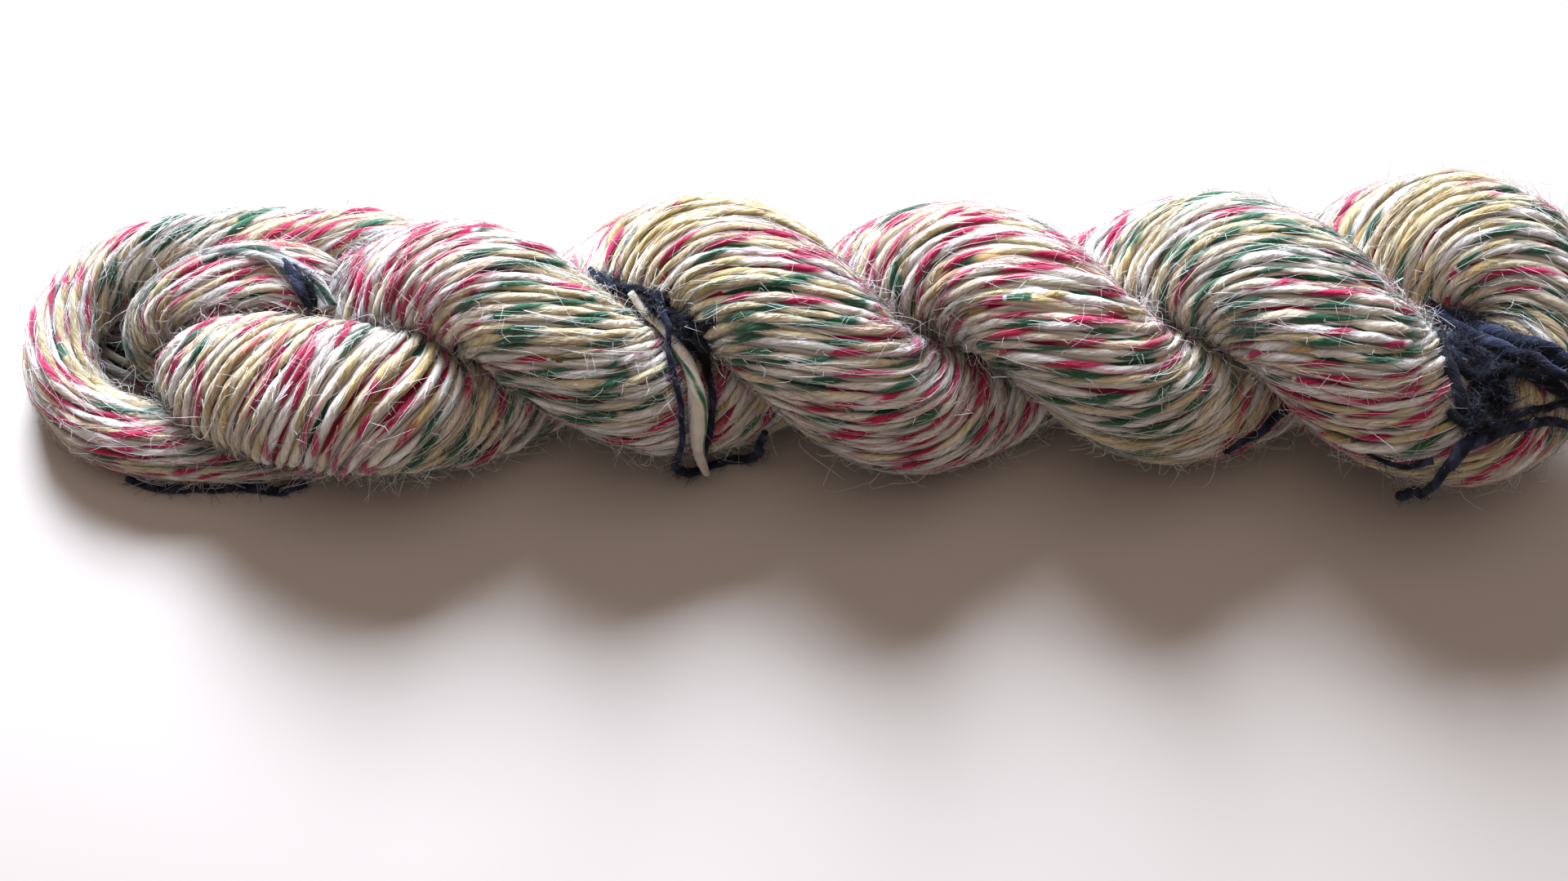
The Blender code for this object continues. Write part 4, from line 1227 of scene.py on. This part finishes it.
def make_fibres(name, paths, thickness, values, wool):
    """Thin three-cornered tubes that taper to their tips."""
    taper = np.linspace(1.0, TIP, paths.shape[1])[None] * thickness[:, None]
    across = np.broadcast_to(unit(rng.normal(size=(len(paths), 1, 3))), paths.shape)
    rings, run, _ = yarn_rings(paths, across, taper, ply_turn=NO_TURN, corners=3)
    dress(closed_tubes(name, rings, run, values), wool)


# %% Wool of the fibres
FUZZ_CREAM = (0.72, 0.69, 0.66, 1.0)


def make_fuzz_wool():
    """Mostly cream, tinted with the dye of the strand that the fibre stands on, and darkened by
    that strand's painted shade.
    """
    material = bpy.data.materials.new("fuzz_wool")
    material.use_nodes = True
    tree = material.node_tree
    shader = tree.nodes["Principled BSDF"]
    shader.inputs["Roughness"].default_value = 0.7
    shader.inputs["Specular IOR Level"].default_value = 0.3
    dyed = ramp(tree, maths(tree, "FRACT", attribute(tree, "dye")), DYE_RUN)
    colour = mixed(tree, attribute(tree, "tint"), FUZZ_CREAM, dyed)
    feed(tree, shader.inputs["Base Color"], times(tree, colour, attribute(tree, "open")))
    return material


fuzz_wool = make_fuzz_wool()

# %% Fibres on the windings, the ring and the throat
# title, fibres on the windings, the ring and the throat, length, lift, fall, width, points and the
# share of fibres that take the strand's dye. Those with no length lie along the strands.
FUZZ = (
    ("matted_1", (4000, 750, 300), None, None, None, 0.17, 4, 0.32),
    ("matted_2", (2400, 500, 200), None, None, None, 0.14, 4, 0.32),
    ("standing_1", (4000, 800, 200), (2.0, 5.0), (0.4, 1.2), 0.60, 0.105, 4, 0.20),
    ("standing_2", (1500, 300, 60), (3.5, 8.0), (0.4, 1.0), 0.50, 0.105, 4, 0.15),
    ("rim", (1500, 300, 0), (2.5, 9.0), (0.4, 1.1), 0.55, 0.125, 5, 0.06),
    ("stray", (150, 25, 5), (9.0, 18.0), (0.3, 0.5), 0.50, 0.085, 9, 0.06),
)
TINTED, UNTINTED = 0.9, 0.03
THICK_OR_THIN = (0.7, 1.3)
for title, numbers, reach, lifts, fall, width, points, share in FUZZ:
    grown, dyes, shades = [], [], []
    for own_line, (wanted, part) in enumerate(zip(numbers, laid)):
        paths, outwards, values = part
        root, outward, heading, strand, ring = pick_roots(paths, outwards, own_line, wanted,
                                                          rim=title == "rim")
        if reach is None:
            grown.append(wisps(paths, outwards, strand, ring, points))
        else:
            grown.append(fibres(root, outward, heading, rng.uniform(*reach, len(root)),
                                rng.uniform(*lifts, len(root)), fall, points))
        dyes.append(values["dye"][strand, ring])
        # the painted shade of the strand at each root
        shades.append(values["open"][strand, ring].max(axis=-1))
    grown = np.concatenate(grown)
    tint = np.where(rng.uniform(0.0, 1.0, len(grown)) < share, TINTED, UNTINTED)
    stored = {"dye": np.concatenate(dyes), "open": np.concatenate(shades), "tint": tint}
    stored = {key: np.broadcast_to(one[:, None], grown.shape[:2]) for key, one in stored.items()}
    make_fibres(f"fuzz_{title}", grown, rng.uniform(*THICK_OR_THIN, len(grown)) * width, stored,
                fuzz_wool)

# %% The matted wool of the knots, and fibres on the ties
# x, back, height, reach, fibres
WADS = (
    (-28.6, -6.0, 42.6, 3.6, 600), (-46.0, 6.6, 40.6, 2.6, 200), (-37.0, 0.0, 42.2, 2.4, 220),
    (147.0, -4.0, 38.6, 4.2, 620), (144.0, -14.0, 45.6, 4.2, 480), (149.0, -20.0, 43.8, 4.6, 700),
    (145.4, -29.0, 42.6, 3.6, 420), (158.0, -15.0, 45.0, 4.4, 420), (152.5, -24.0, 41.2, 4.0, 420),
    (-118.0, 8.8, 37.4, 2.4, 150),
)
# how widely a wad's fibres scatter, as a share of its reach
SCATTER = 0.45
# fibres on the free strands: how many, and millimetres from a strand's middle
FIBRES_TO_A_MM, NAVY_ROOT_OUT = 4.5, 0.5
# length, lift, fall and thickness of the fibres of the wads and of those on the strands
WAD_FIBRES = ((1.5, 5.0), (0.2, 1.0), 1.0, (0.11, 0.20))
NAVY_FIBRES = ((1.0, 3.4), (0.3, 1.2), 0.6, (0.10, 0.18))


def navy_fibres(roots, outward, heading, reach, lifts, fall):
    """Fibres of four points, each with its own length and lift."""
    return fibres(roots, outward, heading, rng.uniform(*reach, len(roots)),
                  rng.uniform(*lifts, len(roots)), fall, 4)


wads, grown = [], []
for *place, reach, wanted in WADS:
    middle = np.array(place) + SCATTER * reach * rng.normal(size=(wanted, 3))
    ways = unit(rng.normal(size=(2, wanted, 3)))
    wads.append(navy_fibres(middle, ways[0], ways[1], *WAD_FIBRES[:3]))
for line in navy_lines:
    wanted = int(FIBRES_TO_A_MM * np.linalg.norm(np.diff(line, axis=0), axis=1).sum())
    ring = rng.integers(1, len(line) - 1, wanted)
    heading = unit(line[ring + 1] - line[ring - 1])
    around = rng.normal(size=(wanted, 3))
    around = unit(around - heading * np.sum(around * heading, axis=1, keepdims=True))
    grown.append(navy_fibres(line[ring] + NAVY_ROOT_OUT * around, around, heading,
                             *NAVY_FIBRES[:3]))
# the wads take the navy with painted shade
for name, parts, thick, wool in (("fuzz_wads", wads, WAD_FIBRES[3], shaded_navy),
                                 ("fuzz_navy", grown, NAVY_FIBRES[3], navy_fuzz)):
    paths = np.concatenate(parts)
    make_fibres(name, paths, rng.uniform(*thick, len(paths)), None, wool)

# %% [markdown]
# ## Floor and light
# The skein lies on a plain pale table by a window. A picture of a room all round could light it,
# but then the shadow couldn't be moved. So one large soft light behind and to the left stands for
# the window, and makes the upper edge bright and the shadow fall towards the viewer. A weaker,
# warmer light overhead stands for the ceiling, and the room's pale walls give the rest.

# %% Floor
FLOOR_SIZE = 6.0
FLOOR_COLOUR, FLOOR_ROUGHNESS = (0.43, 0.380, 0.340, 1.0), 0.6
floor_mesh = bpy.data.meshes.new("floor")
half = FLOOR_SIZE / 2
floor_mesh.from_pydata([(-half, -half, 0), (half, -half, 0), (half, half, 0), (-half, half, 0)],
                       [], [(0, 1, 2, 3)])
floor = bpy.data.objects.new("floor", floor_mesh)
bpy.context.scene.collection.objects.link(floor)
floor_paint = bpy.data.materials.new("pale_floor")
floor_paint.use_nodes = True
floor_shader = floor_paint.node_tree.nodes["Principled BSDF"]
floor_shader.inputs["Base Color"].default_value = FLOOR_COLOUR
floor_shader.inputs["Roughness"].default_value = FLOOR_ROUGHNESS
floor_mesh.materials.append(floor_paint)
print(f"floor: {FLOOR_SIZE} m square")

# %% Lights
# name, place and size in metres, watts, colour
LIGHTS = (("window", (-0.20, 0.65, 0.55), 0.40, 30.5, (0.87, 0.98, 1.15)),
          ("ceiling", (0.0, -0.10, 1.30), 1.2, 5.4, (1.0, 0.80, 0.66)))
# the height at which the lights aim
LIT_HEIGHT = 0.02
ROOM_COLOUR, ROOM_STRENGTH = (0.98, 0.88, 0.86, 1.0), 0.20


def soft_light(name, place, size, watts, colour):
    """A square area light that faces the skein."""
    data = bpy.data.lights.new(name, "AREA")
    data.shape = "SQUARE"
    data.size = size
    data.energy = watts
    data.color = colour
    lamp = bpy.data.objects.new(name, data)
    lamp.location = place
    back = np.array(place, float) - (0.0, 0.0, LIT_HEIGHT)
    flat = math.hypot(back[0], back[1])
    lamp.rotation_euler = (math.atan2(flat, back[2]), 0.0, math.atan2(back[0], -back[1]))
    bpy.context.scene.collection.objects.link(lamp)


for light in LIGHTS:
    soft_light(*light)
world = bpy.data.worlds.new("room")
world.use_nodes = True
room_light = world.node_tree.nodes["Background"]
room_light.inputs["Color"].default_value = ROOM_COLOUR
room_light.inputs["Strength"].default_value = ROOM_STRENGTH
bpy.context.scene.world = world
bpy.context.scene.view_settings.view_transform = "Standard"
print("lights:", ", ".join(lamp.name for lamp in bpy.data.lights))
